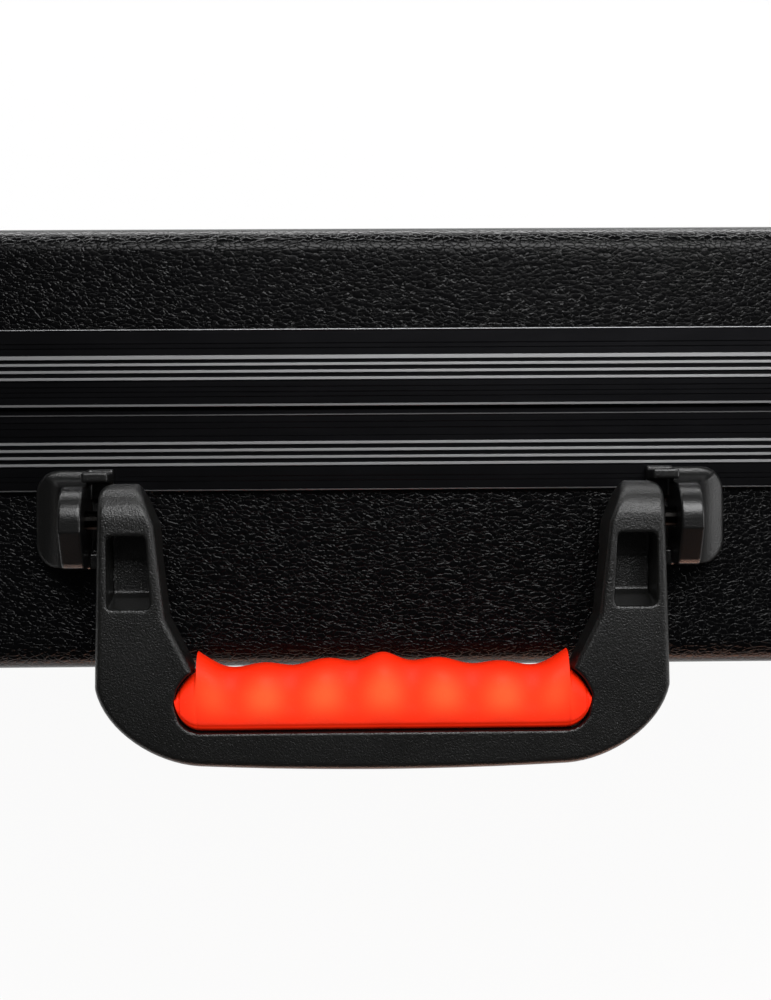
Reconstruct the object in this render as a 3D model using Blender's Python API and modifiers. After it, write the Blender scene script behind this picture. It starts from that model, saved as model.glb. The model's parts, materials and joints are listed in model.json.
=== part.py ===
"""Effects processor case: two moulded shells in ribbed aluminium rims, with a folding handle.

The case stands on its hinge side, the way it stands after it is put down by its handle.
X runs along the width, +Y from the base to the lid and +Z from the hinge side to the front.
Coordinates below are taken from the parting plane between the rims (Y = 0), the middle of the
width (X = 0) and the ground under the back feet (Z = 0). One empty then moves the whole case
along Y, so that the origin lies at the middle of its footprint.
"""
import math

import bmesh
import bpy
from mathutils import Matrix, Vector

MM = 0.001

# Case body
CASE_WIDTH = 560 * MM
CASE_DEPTH = 340 * MM  # from the hinge wall to the front wall
BASE_HEIGHT = 70.8 * MM  # from the parting plane to the base's big face
LID_HEIGHT = 50.4 * MM
SHELL_WALL = 3 * MM
CORNER_RADIUS = 34 * MM
EDGE_RADIUS = 7 * MM
FIELD_INSET = 36 * MM  # border round the raised field that stiffens each big face
FIELD_RISE = 2 * MM
FIELD_SLOPE = 3 * MM
FIELD_RADIUS = 20 * MM
SEAT = 0.3 * MM  # gap kept between pieces that touch

# Aluminium rims
RIM_PLATE = 1.6 * MM
RIM_REACH = 21.9 * MM  # parting plane to a rim's far edge
SHADOW_GAP = 2.6 * MM  # open line between the two rims
WEB_DEPTH = 4.5 * MM  # parting plane to the web that joins plate and flange
FLANGE_REACH = 14 * MM
TONGUE_WIDTH = 1.2 * MM
RIB_COUNT = 4
RIB_PITCH = 1.93 * MM
RIB_WIDTH = 1 * MM
BROAD_RIB_WIDTH = 1.4 * MM
RIB_HEIGHT = 0.6 * MM
LIP_HEIGHT = 0.25 * MM
LID_FIRST_RIB = 8.5 * MM
BASE_FIRST_RIB = 9.05 * MM

# Feet
BACK_FOOT_HEIGHT = 12 * MM
BACK_FOOT_LENGTH = 34 * MM
BACK_FOOT_WIDTH = 18 * MM
BACK_FOOT_FROM_SIDE = 80 * MM
BASE_BACK_FOOT_Y = 52 * MM
LID_BACK_FOOT_Y = 32.6 * MM
FACE_FOOT_RADIUS = 9 * MM
FACE_FOOT_HEIGHT = 8 * MM
FACE_FOOT_INSET = 22 * MM

# Handle and its two brackets
PIVOT_DROP = 30 * MM  # parting plane to the handle's axis, towards the base
PIVOT_RISE = 13 * MM  # front wall to the handle's axis
KNUCKLE_RADIUS = 9.8 * MM
ARM_THICKNESS = 14.8 * MM
HANDLE_HALF_WIDTH = 74.2 * MM
ARM_TOP_WIDTH = 10.6 * MM
ARM_WIDTH = 15 * MM
ARM_FOOT_WIDTH = 17.6 * MM
HANDLE_DROP = 95.6 * MM  # parting plane to the bar's lower edge, in the stored position
HANDLE_CORNER = 27 * MM
BAR_HEIGHT = 11.2 * MM  # black bar below the grip
HANDLE_ROUND = 1.6 * MM
POCKET_WIDTH = 10.2 * MM  # at its upper end
POCKET_TAPER = 1.1 * MM  # wider at its foot, along the arm's inner edge
POCKET_LENGTH = 19.6 * MM
POCKET_OFFSET = 3.7 * MM  # below the axis
POCKET_DEPTH = 13.3 * MM
POCKET_INSET = 2.4 * MM  # from the arm's outer side
GRIP_HALF_WIDTH = 54.5 * MM
GRIP_HEIGHT = 16 * MM
GRIP_HORN_X = 48.7 * MM
GRIP_HORN_RISE = 3.4 * MM
GRIP_END_ROUND = 7 * MM
GRIP_THICKNESS = 15.2 * MM
FINGER_PITCH = 15.6 * MM
FINGER_DEPTH = 0.5 * MM
FINGER_SWELL = 0.4 * MM  # the grip is thicker between two fingers
CORE_THICKNESS = 5 * MM
CORE_RISE = 11 * MM
PIN_RADIUS = 2.5 * MM
PIN_PLAY = 0.1 * MM
PIN_SOCKET = 12 * MM  # depth of the pin's hole in each knuckle
KNUCKLE_GAP = 4.2 * MM  # from the handle's side to the bracket's ear
EAR_WIDTH = 6.2 * MM
EAR_RADIUS = 9 * MM
EAR_FLARE = 9 * MM
PAD_THICKNESS = 2.5 * MM
BRACKET_TOP = 16.3 * MM
BRACKET_FOOT = 43 * MM
BRACKET_INNER_REACH = 10.8 * MM  # base plate under the arm
STOP_HEIGHT = 14.6 * MM
SCREW_RADIUS = 2 * MM
SCREW_HEAD_RADIUS = 3.6 * MM
SCREW_HEAD_HEIGHT = 2.2 * MM
SCREW_REACH = 9 * MM
UPPER_SCREW_DROP = 24.6 * MM
LOWER_SCREW_DROP = 38 * MM
BACKING_THICKNESS = 1.5 * MM

# Draw latches
LATCH_FROM_SIDE = 100 * MM
LATCH_SHEET = 1.2 * MM
LATCH_PLATE_WIDTH = 34 * MM
LATCH_PLATE_TOP = 5 * MM
LATCH_PLATE_FOOT = 50 * MM
LEVER_AXIS_DROP = 20 * MM
LEVER_AXIS_RISE = 8 * MM
LINK_AXIS_OFFSET = 8 * MM
LINK_AXIS_SINK = 1 * MM  # the link's axis lies below the lever's, so the closed latch stays shut
LEVER_WIDTH = 18 * MM
LEVER_LENGTH = 30 * MM
LEVER_NOSE = 3 * MM
LEVER_PIN_RADIUS = 1.5 * MM
LINK_PIN_RADIUS = 1.2 * MM
CATCH_WIDTH = 30 * MM
CATCH_RIDGE = 8 * MM  # parting plane to the ridge that the link hooks over
CATCH_RIDGE_HEIGHT = 3.5 * MM
CATCH_REACH = 20.5 * MM

# Hinges
HINGE_FROM_SIDE = 110 * MM
HINGE_LENGTH = 60 * MM
HINGE_KNUCKLES = 5
HINGE_RADIUS = 3.2 * MM
HINGE_PIN_RADIUS = 1.5 * MM
HINGE_LEAF = 1.5 * MM
HINGE_LEAF_REACH = 20.5 * MM

# Foam
FOAM_FLOOR = 10 * MM
FOAM_WALL = 24 * MM
FOAM_TOP = 8 * MM  # parting plane to the top of the base foam
ACCESSORY_POCKET = 42 * MM
POCKET_BRIDGE = 16 * MM
POCKET_CORNER = 8 * MM
FINGER_NOTCH = 15 * MM
FOAM_CHAMFER = 3 * MM
LID_FOAM_BACKING = 11 * MM
LID_FOAM_BUMP = 15 * MM
BUMP_COLUMNS = 9
BUMP_ROWS = 6

# Places worked out from the sizes above
LATCH_X = CASE_WIDTH / 2 - LATCH_FROM_SIDE
HINGE_X = CASE_WIDTH / 2 - HINGE_FROM_SIDE
BACK_FOOT_X = CASE_WIDTH / 2 - BACK_FOOT_FROM_SIDE
HINGE_WALL_Z = BACK_FOOT_HEIGHT
FRONT_WALL_Z = HINGE_WALL_Z + CASE_DEPTH
MIDDLE_Z = (HINGE_WALL_Z + FRONT_WALL_Z) / 2
PLATE_FACE = SEAT + RIM_PLATE  # rim's outer face, above the shell's wall
RIB_CREST = PLATE_FACE + RIB_HEIGHT
WEB_THICKNESS = RIM_PLATE
FLANGE_INNER = SHELL_WALL + SEAT + RIM_PLATE
SHELL_OPEN_EDGE = WEB_DEPTH + WEB_THICKNESS + SEAT
PIVOT = Vector((0, -PIVOT_DROP, FRONT_WALL_Z + PIVOT_RISE))
ARM_FRONT = PIVOT_RISE + KNUCKLE_RADIUS
ARM_BACK = ARM_FRONT - ARM_THICKNESS
GRIP_FLOOR = HANDLE_DROP - BAR_HEIGHT
EAR_INNER = HANDLE_HALF_WIDTH + KNUCKLE_GAP
EAR_OUTER = EAR_INNER + EAR_WIDTH
BRACKET_OUTER = EAR_OUTER + EAR_FLARE
SCREW_X = EAR_INNER + EAR_WIDTH / 2 + 0.5 * MM
LATCH_FLOOR = RIB_CREST + SEAT
LATCH_TOP = LATCH_FLOOR + LATCH_SHEET
HINGE_AXIS_RISE = RIB_CREST + SEAT + HINGE_RADIUS
HINGE_AXIS = Vector((0, 0, HINGE_WALL_Z - HINGE_AXIS_RISE))
FOAM_INSET = FLANGE_INNER + 0.5 * MM
PARTING_Y = (HANDLE_DROP - LID_HEIGHT - FIELD_RISE) / 2

# Which way an outline is extruded: X and Y along Z, Y and Z along X, or Z and X along Y
ALONG_Z = Matrix.Identity(4)
ALONG_X = Matrix(((0, 0, 1, 0), (1, 0, 0, 0), (0, 1, 0, 0), (0, 0, 0, 1)))
ALONG_Y = Matrix(((0, 1, 0, 0), (0, 0, 1, 0), (1, 0, 0, 0), (0, 0, 0, 1)))

CORNER_STEPS = 6
ROUND_STEPS = 16


def start_scene():
    """Empty the scene and make one collection for the parts and one for the cutters."""
    for item in list(bpy.data.objects):
        bpy.data.objects.remove(item)
    collections = []
    for name in ("Effects processor case", "Cutters"):
        collection = bpy.data.collections.new(name)
        bpy.context.scene.collection.children.link(collection)
        collections.append(collection)
    return collections


PARTS, CUTTERS = start_scene()


def material(name, color, roughness, metallic=0.0):
    """A plain Principled material."""
    made = bpy.data.materials.new(name)
    made.use_nodes = True
    shader = made.node_tree.nodes["Principled BSDF"]
    shader.inputs["Base Color"].default_value = (*color, 1)
    shader.inputs["Roughness"].default_value = roughness
    shader.inputs["Metallic"].default_value = metallic
    return made


BLACK_PLASTIC = material("grained_abs", (0.012, 0.012, 0.013), 0.45)
BLACK_ALUMINIUM = material("black_anodised_aluminium", (0.03, 0.03, 0.032), 0.35, 1.0)
HANDLE_PLASTIC = material("spark_textured_nylon", (0.028, 0.028, 0.027), 0.5)
BRACKET_PLASTIC = material("smooth_nylon", (0.025, 0.025, 0.025), 0.4)
GRIP_RUBBER = material("orange_grip_rubber", (1.0, 0.05, 0.005), 0.5)
STEEL = material("nickel_plated_steel", (0.62, 0.61, 0.58), 0.25, 1.0)
RUBBER = material("black_rubber", (0.02, 0.02, 0.02), 0.8)
FOAM = material("charcoal_foam", (0.05, 0.05, 0.053), 0.95)


def arc(centre, radius, start, end, steps):
    """Points on a circular arc between two angles in degrees, both ends included."""
    angles = [math.radians(start + (end - start) * step / steps) for step in range(steps + 1)]
    return [(centre[0] + radius * math.cos(a), centre[1] + radius * math.sin(a)) for a in angles]


def bezier(first, second, third, fourth, steps):
    """Points on a cubic Bezier curve, both ends included."""
    points = []
    for step in range(steps + 1):
        t = step / steps
        weights = ((1 - t) ** 3, 3 * t * (1 - t) ** 2, 3 * t * t * (1 - t), t ** 3)
        corners = (first, second, third, fourth)
        points.append(tuple(sum(w * c[axis] for w, c in zip(weights, corners)) for axis in (0, 1)))
    return points


def rounded_rectangle(low, high, radius, steps=CORNER_STEPS):
    """Points of a rounded rectangle between two corners, counter-clockwise."""
    radius = min(radius, (high[0] - low[0]) / 2.01, (high[1] - low[1]) / 2.01)
    centres = (
        (high[0] - radius, high[1] - radius),
        (low[0] + radius, high[1] - radius),
        (low[0] + radius, low[1] + radius),
        (high[0] - radius, low[1] + radius),
    )
    points = []
    for quarter, centre in enumerate(centres):
        points += arc(centre, radius, 90 * quarter, 90 * quarter + 90, steps)
    return points


def case_outline(inset, radius):
    """The case's outline in X and Z, drawn in from the shells' outer walls."""
    low = (-CASE_WIDTH / 2 + inset, HINGE_WALL_Z + inset)
    high = (CASE_WIDTH / 2 - inset, FRONT_WALL_Z - inset)
    return rounded_rectangle(low, high, radius)


def tidy_mesh(mesh):
    """Weld doubled points and turn every face outwards."""
    work = bmesh.new()
    work.from_mesh(mesh)
    bmesh.ops.remove_doubles(work, verts=work.verts, dist=0.001 * MM)
    bmesh.ops.recalc_face_normals(work, faces=work.faces)
    work.to_mesh(mesh)
    work.free()


def add_object(name, mesh):
    """Put a mesh in the scene as an object in the parts' collection."""
    made = bpy.data.objects.new(name, mesh)
    PARTS.objects.link(made)
    return made


def mesh_of(item):
    """The evaluated mesh of a curve or a modified object, in world space."""
    bpy.context.view_layer.update()
    graph = bpy.context.evaluated_depsgraph_get()
    mesh = bpy.data.meshes.new_from_object(item.evaluated_get(graph))
    mesh.transform(item.matrix_world)
    return mesh


def outline_curve(name, outline):
    """A flat closed curve through the points of an outline."""
    curve = bpy.data.curves.new(name, "CURVE")
    curve.dimensions = "2D"
    spline = curve.splines.new("POLY")
    spline.points.add(len(outline) - 1)
    for point, (across, up) in zip(spline.points, outline):
        point.co = (across, up, 0, 1)
    spline.use_cyclic_u = True
    return add_object(name, curve)


def prism(name, outline, direction, low, high):
    """A flat outline extruded between two planes, with its caps welded on."""
    guide = outline_curve(name + "_outline", outline)
    guide.data.fill_mode = "BOTH"
    guide.data.extrude = (high - low) / 2
    guide.matrix_world = direction @ Matrix.Translation((0, 0, (low + high) / 2))
    mesh = mesh_of(guide)
    bpy.data.objects.remove(guide)
    tidy_mesh(mesh)
    return add_object(name, mesh)


def block(name, low, high):
    """A plain box between two corners."""
    mesh = bpy.data.meshes.new(name)
    work = bmesh.new()
    bmesh.ops.create_cube(work, size=1)
    size = Vector(high) - Vector(low)
    bmesh.ops.scale(work, verts=work.verts, vec=size)
    bmesh.ops.translate(work, verts=work.verts, vec=(Vector(high) + Vector(low)) / 2)
    work.to_mesh(mesh)
    work.free()
    return add_object(name, mesh)


def rod(name, radius, low, high, centre, direction=ALONG_X, sides=ROUND_STEPS):
    """A cylinder along one axis, between two planes across that axis."""
    mesh = bpy.data.meshes.new(name)
    work = bmesh.new()
    bmesh.ops.create_cone(
        work, cap_ends=True, segments=sides, radius1=radius, radius2=radius, depth=high - low
    )
    place = direction @ Matrix.Translation((centre[0], centre[1], (low + high) / 2))
    work.transform(place)
    work.to_mesh(mesh)
    work.free()
    return add_object(name, mesh)


def turned(name, profile, place, sides=ROUND_STEPS):
    """A profile of (radius, height) pairs, turned about Z with a Screw modifier and then placed."""
    mesh = bpy.data.meshes.new(name)
    points = [(radius, 0, height) for radius, height in profile]
    mesh.from_pydata(points, [(i, i + 1) for i in range(len(points) - 1)], [])
    made = add_object(name, mesh)
    screw = made.modifiers.new("turn", "SCREW")
    screw.steps = sides
    screw.render_steps = sides
    screw.use_merge_vertices = True
    screw.merge_threshold = 0.01 * MM
    solid = mesh_of(made)
    bpy.data.objects.remove(made)
    tidy_mesh(solid)
    solid.transform(place)
    return add_object(name, solid)


def loft(name, rings):
    """A skin over a row of rings with equally many points, closed by a flat cap at both ends."""
    mesh = bpy.data.meshes.new(name)
    work = bmesh.new()
    rows = [[work.verts.new(point) for point in ring] for ring in rings]
    for row, following in zip(rows, rows[1:]):
        for i in range(len(row)):
            j = (i + 1) % len(row)
            work.faces.new((row[i], row[j], following[j], following[i]))
    work.faces.new(rows[0])
    work.faces.new(rows[-1])
    bmesh.ops.recalc_face_normals(work, faces=work.faces)
    work.to_mesh(mesh)
    work.free()
    return add_object(name, mesh)


def combine(target, tool, operation="DIFFERENCE"):
    """Cut, join or intersect a piece with another shape, which then becomes a cutter."""
    modifier = target.modifiers.new(operation.lower(), "BOOLEAN")
    modifier.operation = operation
    modifier.object = tool
    modifier.solver = "EXACT"
    PARTS.objects.unlink(tool)
    CUTTERS.objects.link(tool)
    tool.hide_render = True
    tool.display_type = "WIRE"


def bevel(target, width, segments=2, angle=40):
    """Round the edges that are sharper than an angle."""
    modifier = target.modifiers.new("rounded_edges", "BEVEL")
    modifier.width = width
    modifier.segments = segments
    modifier.limit_method = "ANGLE"
    modifier.angle_limit = math.radians(angle)


def place_in_case(parent):
    """Where a parent empty lies in the case's own coordinates."""
    place = Vector()
    while parent.parent:
        place += parent.location
        parent = parent.parent
    return place


def hang(item, parent, place):
    """Hang a piece and all its cutters on a parent, with their points counted from its place."""
    if item.parent:
        return
    item.data.transform(Matrix.Translation(-place))
    item.parent = parent
    for modifier in item.modifiers:
        tool = getattr(modifier, "object", None)
        if tool:
            hang(tool, parent, place)


def finish_piece(item, finish, parent, smooth=30):
    """Give a piece its material, smooth shading and a parent, with its origin at that parent."""
    item.data.materials.clear()
    item.data.materials.append(finish)
    item.data.shade_smooth()
    item.data.set_sharp_from_angle(angle=math.radians(smooth))
    hang(item, parent, place_in_case(parent))


def empty(name, location, parent=None):
    """An empty that carries a group of pieces, at their joint's axis."""
    made = bpy.data.objects.new(name, None)
    PARTS.objects.link(made)
    made.location = location
    made.parent = parent
    return made


def shell(name, height, side):
    """A moulded tray: rounded outline, rounded edge and a raised field, as rings skinned and thickened.

    side is 1 for the lid and -1 for the base.
    """
    levels = [(SHELL_OPEN_EDGE, 0, CORNER_RADIUS)]
    for step in range(5):
        angle = math.radians(90 * step / 4)
        inset = EDGE_RADIUS * (1 - math.cos(angle))
        rise = height - EDGE_RADIUS + EDGE_RADIUS * math.sin(angle)
        levels.append((rise, inset, CORNER_RADIUS - inset))
    levels.append((height, FIELD_INSET, FIELD_RADIUS))
    levels.append((height + FIELD_RISE, FIELD_INSET + FIELD_SLOPE, FIELD_RADIUS))
    rings = []
    for rise, inset, radius in levels:
        rings.append([(x, side * rise, z) for x, z in case_outline(inset, radius)])
    made = loft(name, rings)
    open_mouth(made, side * SHELL_OPEN_EDGE)
    wall = made.modifiers.new("wall", "SOLIDIFY")
    wall.thickness = SHELL_WALL
    wall.offset = -1
    wall.use_even_offset = True
    return made


def open_mouth(item, level):
    """Take off the flat cap that lies at one Y level."""
    work = bmesh.new()
    work.from_mesh(item.data)
    caps = [f for f in work.faces if all(abs(v.co.y - level) < 0.01 * MM for v in f.verts)]
    bmesh.ops.delete(work, geom=caps, context="FACES_ONLY")
    work.to_mesh(item.data)
    work.free()


def rib_points(first_rib):
    """The ribbed part of a rim's outer face, from the far edge towards the parting plane."""
    points = []
    for index in reversed(range(RIB_COUNT)):
        middle = first_rib + index * RIB_PITCH
        half = (BROAD_RIB_WIDTH if index == RIB_COUNT - 1 else RIB_WIDTH) / 2
        flank = 0.12 * MM
        points.append((PLATE_FACE, middle + half + flank))
        points.append((RIB_CREST, middle + half))
        points.append((RIB_CREST, middle - half))
        points.append((PLATE_FACE, middle - half - flank))
    return points


def rim_profile(first_rib, has_tongue):
    """A rim's section as (out from the shell's wall, away from the parting plane) pairs."""
    edge = SHADOW_GAP / 2
    lip = PLATE_FACE + LIP_HEIGHT
    lip_width = 0.8 * MM
    chamfer = 0.25 * MM
    profile = [
        (SEAT, RIM_REACH),
        (lip - chamfer, RIM_REACH),
        (lip, RIM_REACH - chamfer),
        (lip, RIM_REACH - lip_width),
        (PLATE_FACE, RIM_REACH - lip_width - chamfer),
    ]
    profile += rib_points(first_rib)
    profile += [
        (PLATE_FACE, edge + lip_width + chamfer),
        (lip, edge + lip_width),
        (lip, edge + chamfer),
        (lip - chamfer, edge),
    ]
    if has_tongue:
        tip = WEB_DEPTH - SEAT
        profile += [
            (0, edge),
            (0, chamfer - tip),
            (-chamfer, -tip),
            (chamfer - TONGUE_WIDTH, -tip),
            (-TONGUE_WIDTH, chamfer - tip),
            (-TONGUE_WIDTH, WEB_DEPTH),
        ]
    else:
        profile += [(SEAT, edge), (SEAT, WEB_DEPTH)]
    profile += [
        (-FLANGE_INNER, WEB_DEPTH),
        (-FLANGE_INNER, FLANGE_REACH),
        (-SHELL_WALL - SEAT, FLANGE_REACH),
        (-SHELL_WALL - SEAT, WEB_DEPTH + WEB_THICKNESS),
        (SEAT, WEB_DEPTH + WEB_THICKNESS),
    ]
    return profile


def rim(name, profile, side):
    """An extruded section carried round the case's outline by a curve's bevel object."""
    section = outline_curve(name + "_section", [(-out, -side * away) for out, away in profile])
    path = outline_curve(name + "_path", case_outline(0, CORNER_RADIUS))
    path.data.fill_mode = "NONE"
    path.data.bevel_mode = "OBJECT"
    path.data.bevel_object = section
    path.matrix_world = Matrix.Rotation(math.radians(90), 4, "X")
    mesh = mesh_of(path)
    bpy.data.objects.remove(path)
    bpy.data.objects.remove(section)
    tidy_mesh(mesh)
    return add_object(name, mesh)


def above_wall(outline):
    """Outline points of (Y, rise above the front wall) as (Y, Z)."""
    return [(y, FRONT_WALL_Z + rise) for y, rise in outline]


def grip_edges(x):
    """Lower and upper edge (Y) of the grip in front view, at one place along it.

    The upper edge has finger hollows that are deepest in the middle, and a horn near each end,
    beyond which it drops to a rounded end. The lower edge is straight and turns up at the ends.
    """
    reach = abs(x)
    floor = -GRIP_FLOOR
    lower_start = GRIP_HALF_WIDTH - GRIP_END_ROUND
    lower = floor
    if reach > lower_start:
        turn = min(1, (reach - lower_start) / GRIP_END_ROUND)
        lower += 0.475 * GRIP_HEIGHT * (1 - math.sqrt(1 - turn ** 2))
    if reach > GRIP_HORN_X:
        fall = min(1, (reach - GRIP_HORN_X) / (GRIP_HALF_WIDTH - GRIP_HORN_X))
        shoulder = (1 - fall ** 1.6) ** 0.8
        return lower, floor + GRIP_HEIGHT * (0.49 + 0.43 * shoulder)
    crown = 2.05 * MM * math.exp(-((x / (19 * MM)) ** 2))
    wave = FINGER_DEPTH + 0.6 * MM * math.exp(-((x / (10 * MM)) ** 2))
    upper = floor + GRIP_HEIGHT + crown + wave * math.cos(2 * math.pi * x / FINGER_PITCH)
    horn_start = GRIP_HORN_X - 8 * MM
    if reach > horn_start:
        upper += GRIP_HORN_RISE * ((reach - horn_start) / (GRIP_HORN_X - horn_start)) ** 2
    return lower, upper


def grip_stations():
    """Places along the grip: six to a finger, and closer together at the rounded ends."""
    step = FINGER_PITCH / 6
    horn_start = GRIP_HORN_X - 8 * MM
    half = [step * index for index in range(1, int(horn_start / step) + 1)]
    half += [GRIP_HORN_X - gap * MM for gap in (6, 4, 2, 1, 0)]
    beyond = GRIP_HALF_WIDTH - GRIP_HORN_X
    half += [GRIP_HORN_X + beyond * part for part in (0.04, 0.25, 0.5, 0.72, 0.88, 0.97)]
    half += [GRIP_HALF_WIDTH]
    return [-x for x in reversed(half)] + [0] + half


def grip_section(x, points=16):
    """One ring of the grip in Y and Z: boxy where it meets the bar and round under the fingers."""
    lower, upper = grip_edges(x)
    middle = (lower + upper) / 2
    half_height = (upper - lower) / 2
    end = max(0, abs(x) / GRIP_HALF_WIDTH - 0.85) / 0.15
    half_thickness = GRIP_THICKNESS / 2 * (1 - 0.1 * end ** 2)
    swell = FINGER_SWELL * math.cos(2 * math.pi * x / FINGER_PITCH) * (1 - min(1, end))
    centre = FRONT_WALL_Z + (ARM_FRONT + ARM_BACK) / 2
    ring = []
    for index in range(points):
        angle = 2 * math.pi * (index + 0.5) / points
        along, across = math.cos(angle), math.sin(angle)
        power = 0.75 if along > 0 else 0.3
        y = middle + half_height * math.copysign(abs(along) ** power, along)
        z = centre + (half_thickness + swell) * math.copysign(abs(across) ** power, across)
        ring.append((x, y, z))
    return ring


def grip_seat_outline():
    """The grip's outline in X and Y, a seat gap larger, as it is cut out of the frame."""
    stretch = 1 + SEAT / GRIP_HALF_WIDTH
    stations = grip_stations()
    below = [(x * stretch, grip_edges(x)[0] - SEAT) for x in stations]
    above = [(x * stretch, grip_edges(x)[1] + SEAT) for x in reversed(stations)]
    return below + above


def handle_front_outline():
    """The handle in front view, X and Y: a bar with swept corners between two widening arms."""
    half_bar = 0.65 * HANDLE_HALF_WIDTH
    crown = 1.2 * MM
    top = -PIVOT_DROP + KNUCKLE_RADIUS + 1 * MM
    outer = HANDLE_HALF_WIDTH
    bulge = outer + 1 * MM
    corner_y = -HANDLE_DROP + 0.8 * HANDLE_CORNER
    half = [(half_bar * t, -HANDLE_DROP + crown * t * t) for t in (0.25, 0.5, 0.75)]
    half += bezier(
        (half_bar, -HANDLE_DROP + crown),
        (half_bar + 0.45 * HANDLE_CORNER, -HANDLE_DROP + 1.6 * crown),
        (bulge, corner_y - 0.38 * HANDLE_CORNER),
        (bulge, corner_y),
        9,
    )
    half += [(outer, -PIVOT_DROP), (outer, top)]
    half += [
        (outer - ARM_TOP_WIDTH, top),
        (outer - ARM_TOP_WIDTH, -PIVOT_DROP + KNUCKLE_RADIUS - 1 * MM),
        (outer - ARM_WIDTH + 0.2 * MM, -PIVOT_DROP - 1 * MM),
        (outer - ARM_FOOT_WIDTH, -PIVOT_DROP - 25.5 * MM),
        (GRIP_HORN_X + 1 * MM, -GRIP_FLOOR + 0.95 * GRIP_HEIGHT),
        (GRIP_HORN_X - 5 * MM, -GRIP_FLOOR + 4 * MM),
    ]
    mirrored = [(-x, y) for x, y in reversed(half)]
    return [(0, -HANDLE_DROP)] + half + mirrored


def handle_side_outline():
    """The handle from the side, Y and rise: a round knuckle, and arms with flat front and back."""
    centre = (-PIVOT_DROP, PIVOT_RISE)
    below_axis = PIVOT_RISE - ARM_BACK
    heel = -180 + math.degrees(math.asin(below_axis / KNUCKLE_RADIUS))
    foot = -HANDLE_DROP - 5 * MM
    outline = arc(centre, KNUCKLE_RADIUS, 90, heel, 20)
    outline += [(foot, ARM_BACK), (foot, ARM_FRONT)]
    return above_wall(outline)


def pocket_side_outline():
    """The pocket from the side: a deep end, a ramp, a small ledge and a steep lower wall."""
    top = -PIVOT_DROP - POCKET_OFFSET
    foot = top - POCKET_LENGTH
    deep = ARM_FRONT - POCKET_DEPTH
    return above_wall([
        (top, ARM_FRONT + 1 * MM),
        (top, deep),
        (top - 0.38 * POCKET_LENGTH, deep),
        (foot + 3.6 * MM, deep + 4 * MM),
        (foot + 2.6 * MM, deep + 4 * MM),
        (foot, ARM_FRONT),
        (foot, ARM_FRONT + 1 * MM),
    ])


def handle_pocket(side):
    """The cutter for the window-shaped pocket in the front of one arm."""
    outer = HANDLE_HALF_WIDTH - POCKET_INSET
    inner = outer - POCKET_WIDTH
    low, high = sorted((side * inner, side * outer))
    top = -PIVOT_DROP - POCKET_OFFSET
    window = []
    for x, y in rounded_rectangle((low, top - POCKET_LENGTH), (high, top), 1.6 * MM, 3):
        inwards = (outer - side * x) / POCKET_WIDTH * (top - y) / POCKET_LENGTH
        window.append((x - side * POCKET_TAPER * inwards, y))
    front = FRONT_WALL_Z + ARM_FRONT
    cutter = prism("pocket_window", window, ALONG_Z, front - POCKET_DEPTH - 1 * MM, front + 1 * MM)
    reach = POCKET_TAPER + 1 * MM
    depth = prism("pocket_depth", pocket_side_outline(), ALONG_X, low - reach, high + reach)
    combine(cutter, depth, "INTERSECT")
    return cutter


def make_handle(parent):
    """The folding handle: a moulded frame with pockets, and a soft grip keyed onto its core."""
    axis = empty("handle_axis", PIVOT, parent)
    low = FRONT_WALL_Z + ARM_BACK - 2 * MM
    high = FRONT_WALL_Z + ARM_FRONT + 2 * MM
    frame = prism("handle_frame", handle_front_outline(), ALONG_Z, low, high)
    reach = HANDLE_HALF_WIDTH + 5 * MM
    side_shape = prism("handle_side_shape", handle_side_outline(), ALONG_X, -reach, reach)
    combine(frame, side_shape, "INTERSECT")
    bevel(frame, HANDLE_ROUND, 3)
    combine(frame, prism("grip_seat", grip_seat_outline(), ALONG_Z, low, high))

    middle = FRONT_WALL_Z + (ARM_FRONT + ARM_BACK) / 2
    core_half = GRIP_HORN_X - 2 * MM
    core_top = -GRIP_FLOOR + CORE_RISE
    core = block(
        "grip_core",
        (-core_half, -HANDLE_DROP + BAR_HEIGHT / 2, middle - CORE_THICKNESS / 2),
        (core_half, core_top, middle + CORE_THICKNESS / 2),
    )
    combine(frame, core, "UNION")
    for side in (-1, 1):
        combine(frame, handle_pocket(side))
        ends = sorted((side * (HANDLE_HALF_WIDTH - PIN_SOCKET), side * (HANDLE_HALF_WIDTH + 2 * MM)))
        socket = rod("pin_socket", PIN_RADIUS + PIN_PLAY, *ends, PIVOT.yz)
        combine(frame, socket)
    finish_piece(frame, HANDLE_PLASTIC, axis)

    grip = loft("handle_grip", [grip_section(x) for x in grip_stations()])
    slot = block(
        "core_slot",
        (-core_half - SEAT, -GRIP_FLOOR - 3 * MM, middle - CORE_THICKNESS / 2 - SEAT),
        (core_half + SEAT, core_top + SEAT, middle + CORE_THICKNESS / 2 + SEAT),
    )
    combine(grip, slot)
    finish_piece(grip, GRIP_RUBBER, axis, 50)


def bracket_pad_outline():
    """The bracket's foot from the side: it steps over the rim's edge and ends in the arm's rest."""
    rim_edge = -RIM_REACH - 0.5 * MM
    over_rim = PLATE_FACE + LIP_HEIGHT + SEAT
    knuckle_end = -PIVOT_DROP - KNUCKLE_RADIUS + 0.8 * MM
    return above_wall([
        (-BRACKET_TOP, over_rim),
        (rim_edge, over_rim),
        (rim_edge, SEAT),
        (-BRACKET_FOOT, SEAT),
        (-BRACKET_FOOT, ARM_BACK - SEAT),
        (knuckle_end, ARM_BACK - SEAT),
        (knuckle_end + 0.4 * MM, PAD_THICKNESS + SEAT),
        (rim_edge - 2.6 * MM, PAD_THICKNESS + SEAT),
        (rim_edge - 1.8 * MM, over_rim + 2.2 * MM),
        (-BRACKET_TOP, over_rim + 2.2 * MM),
    ])


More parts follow.
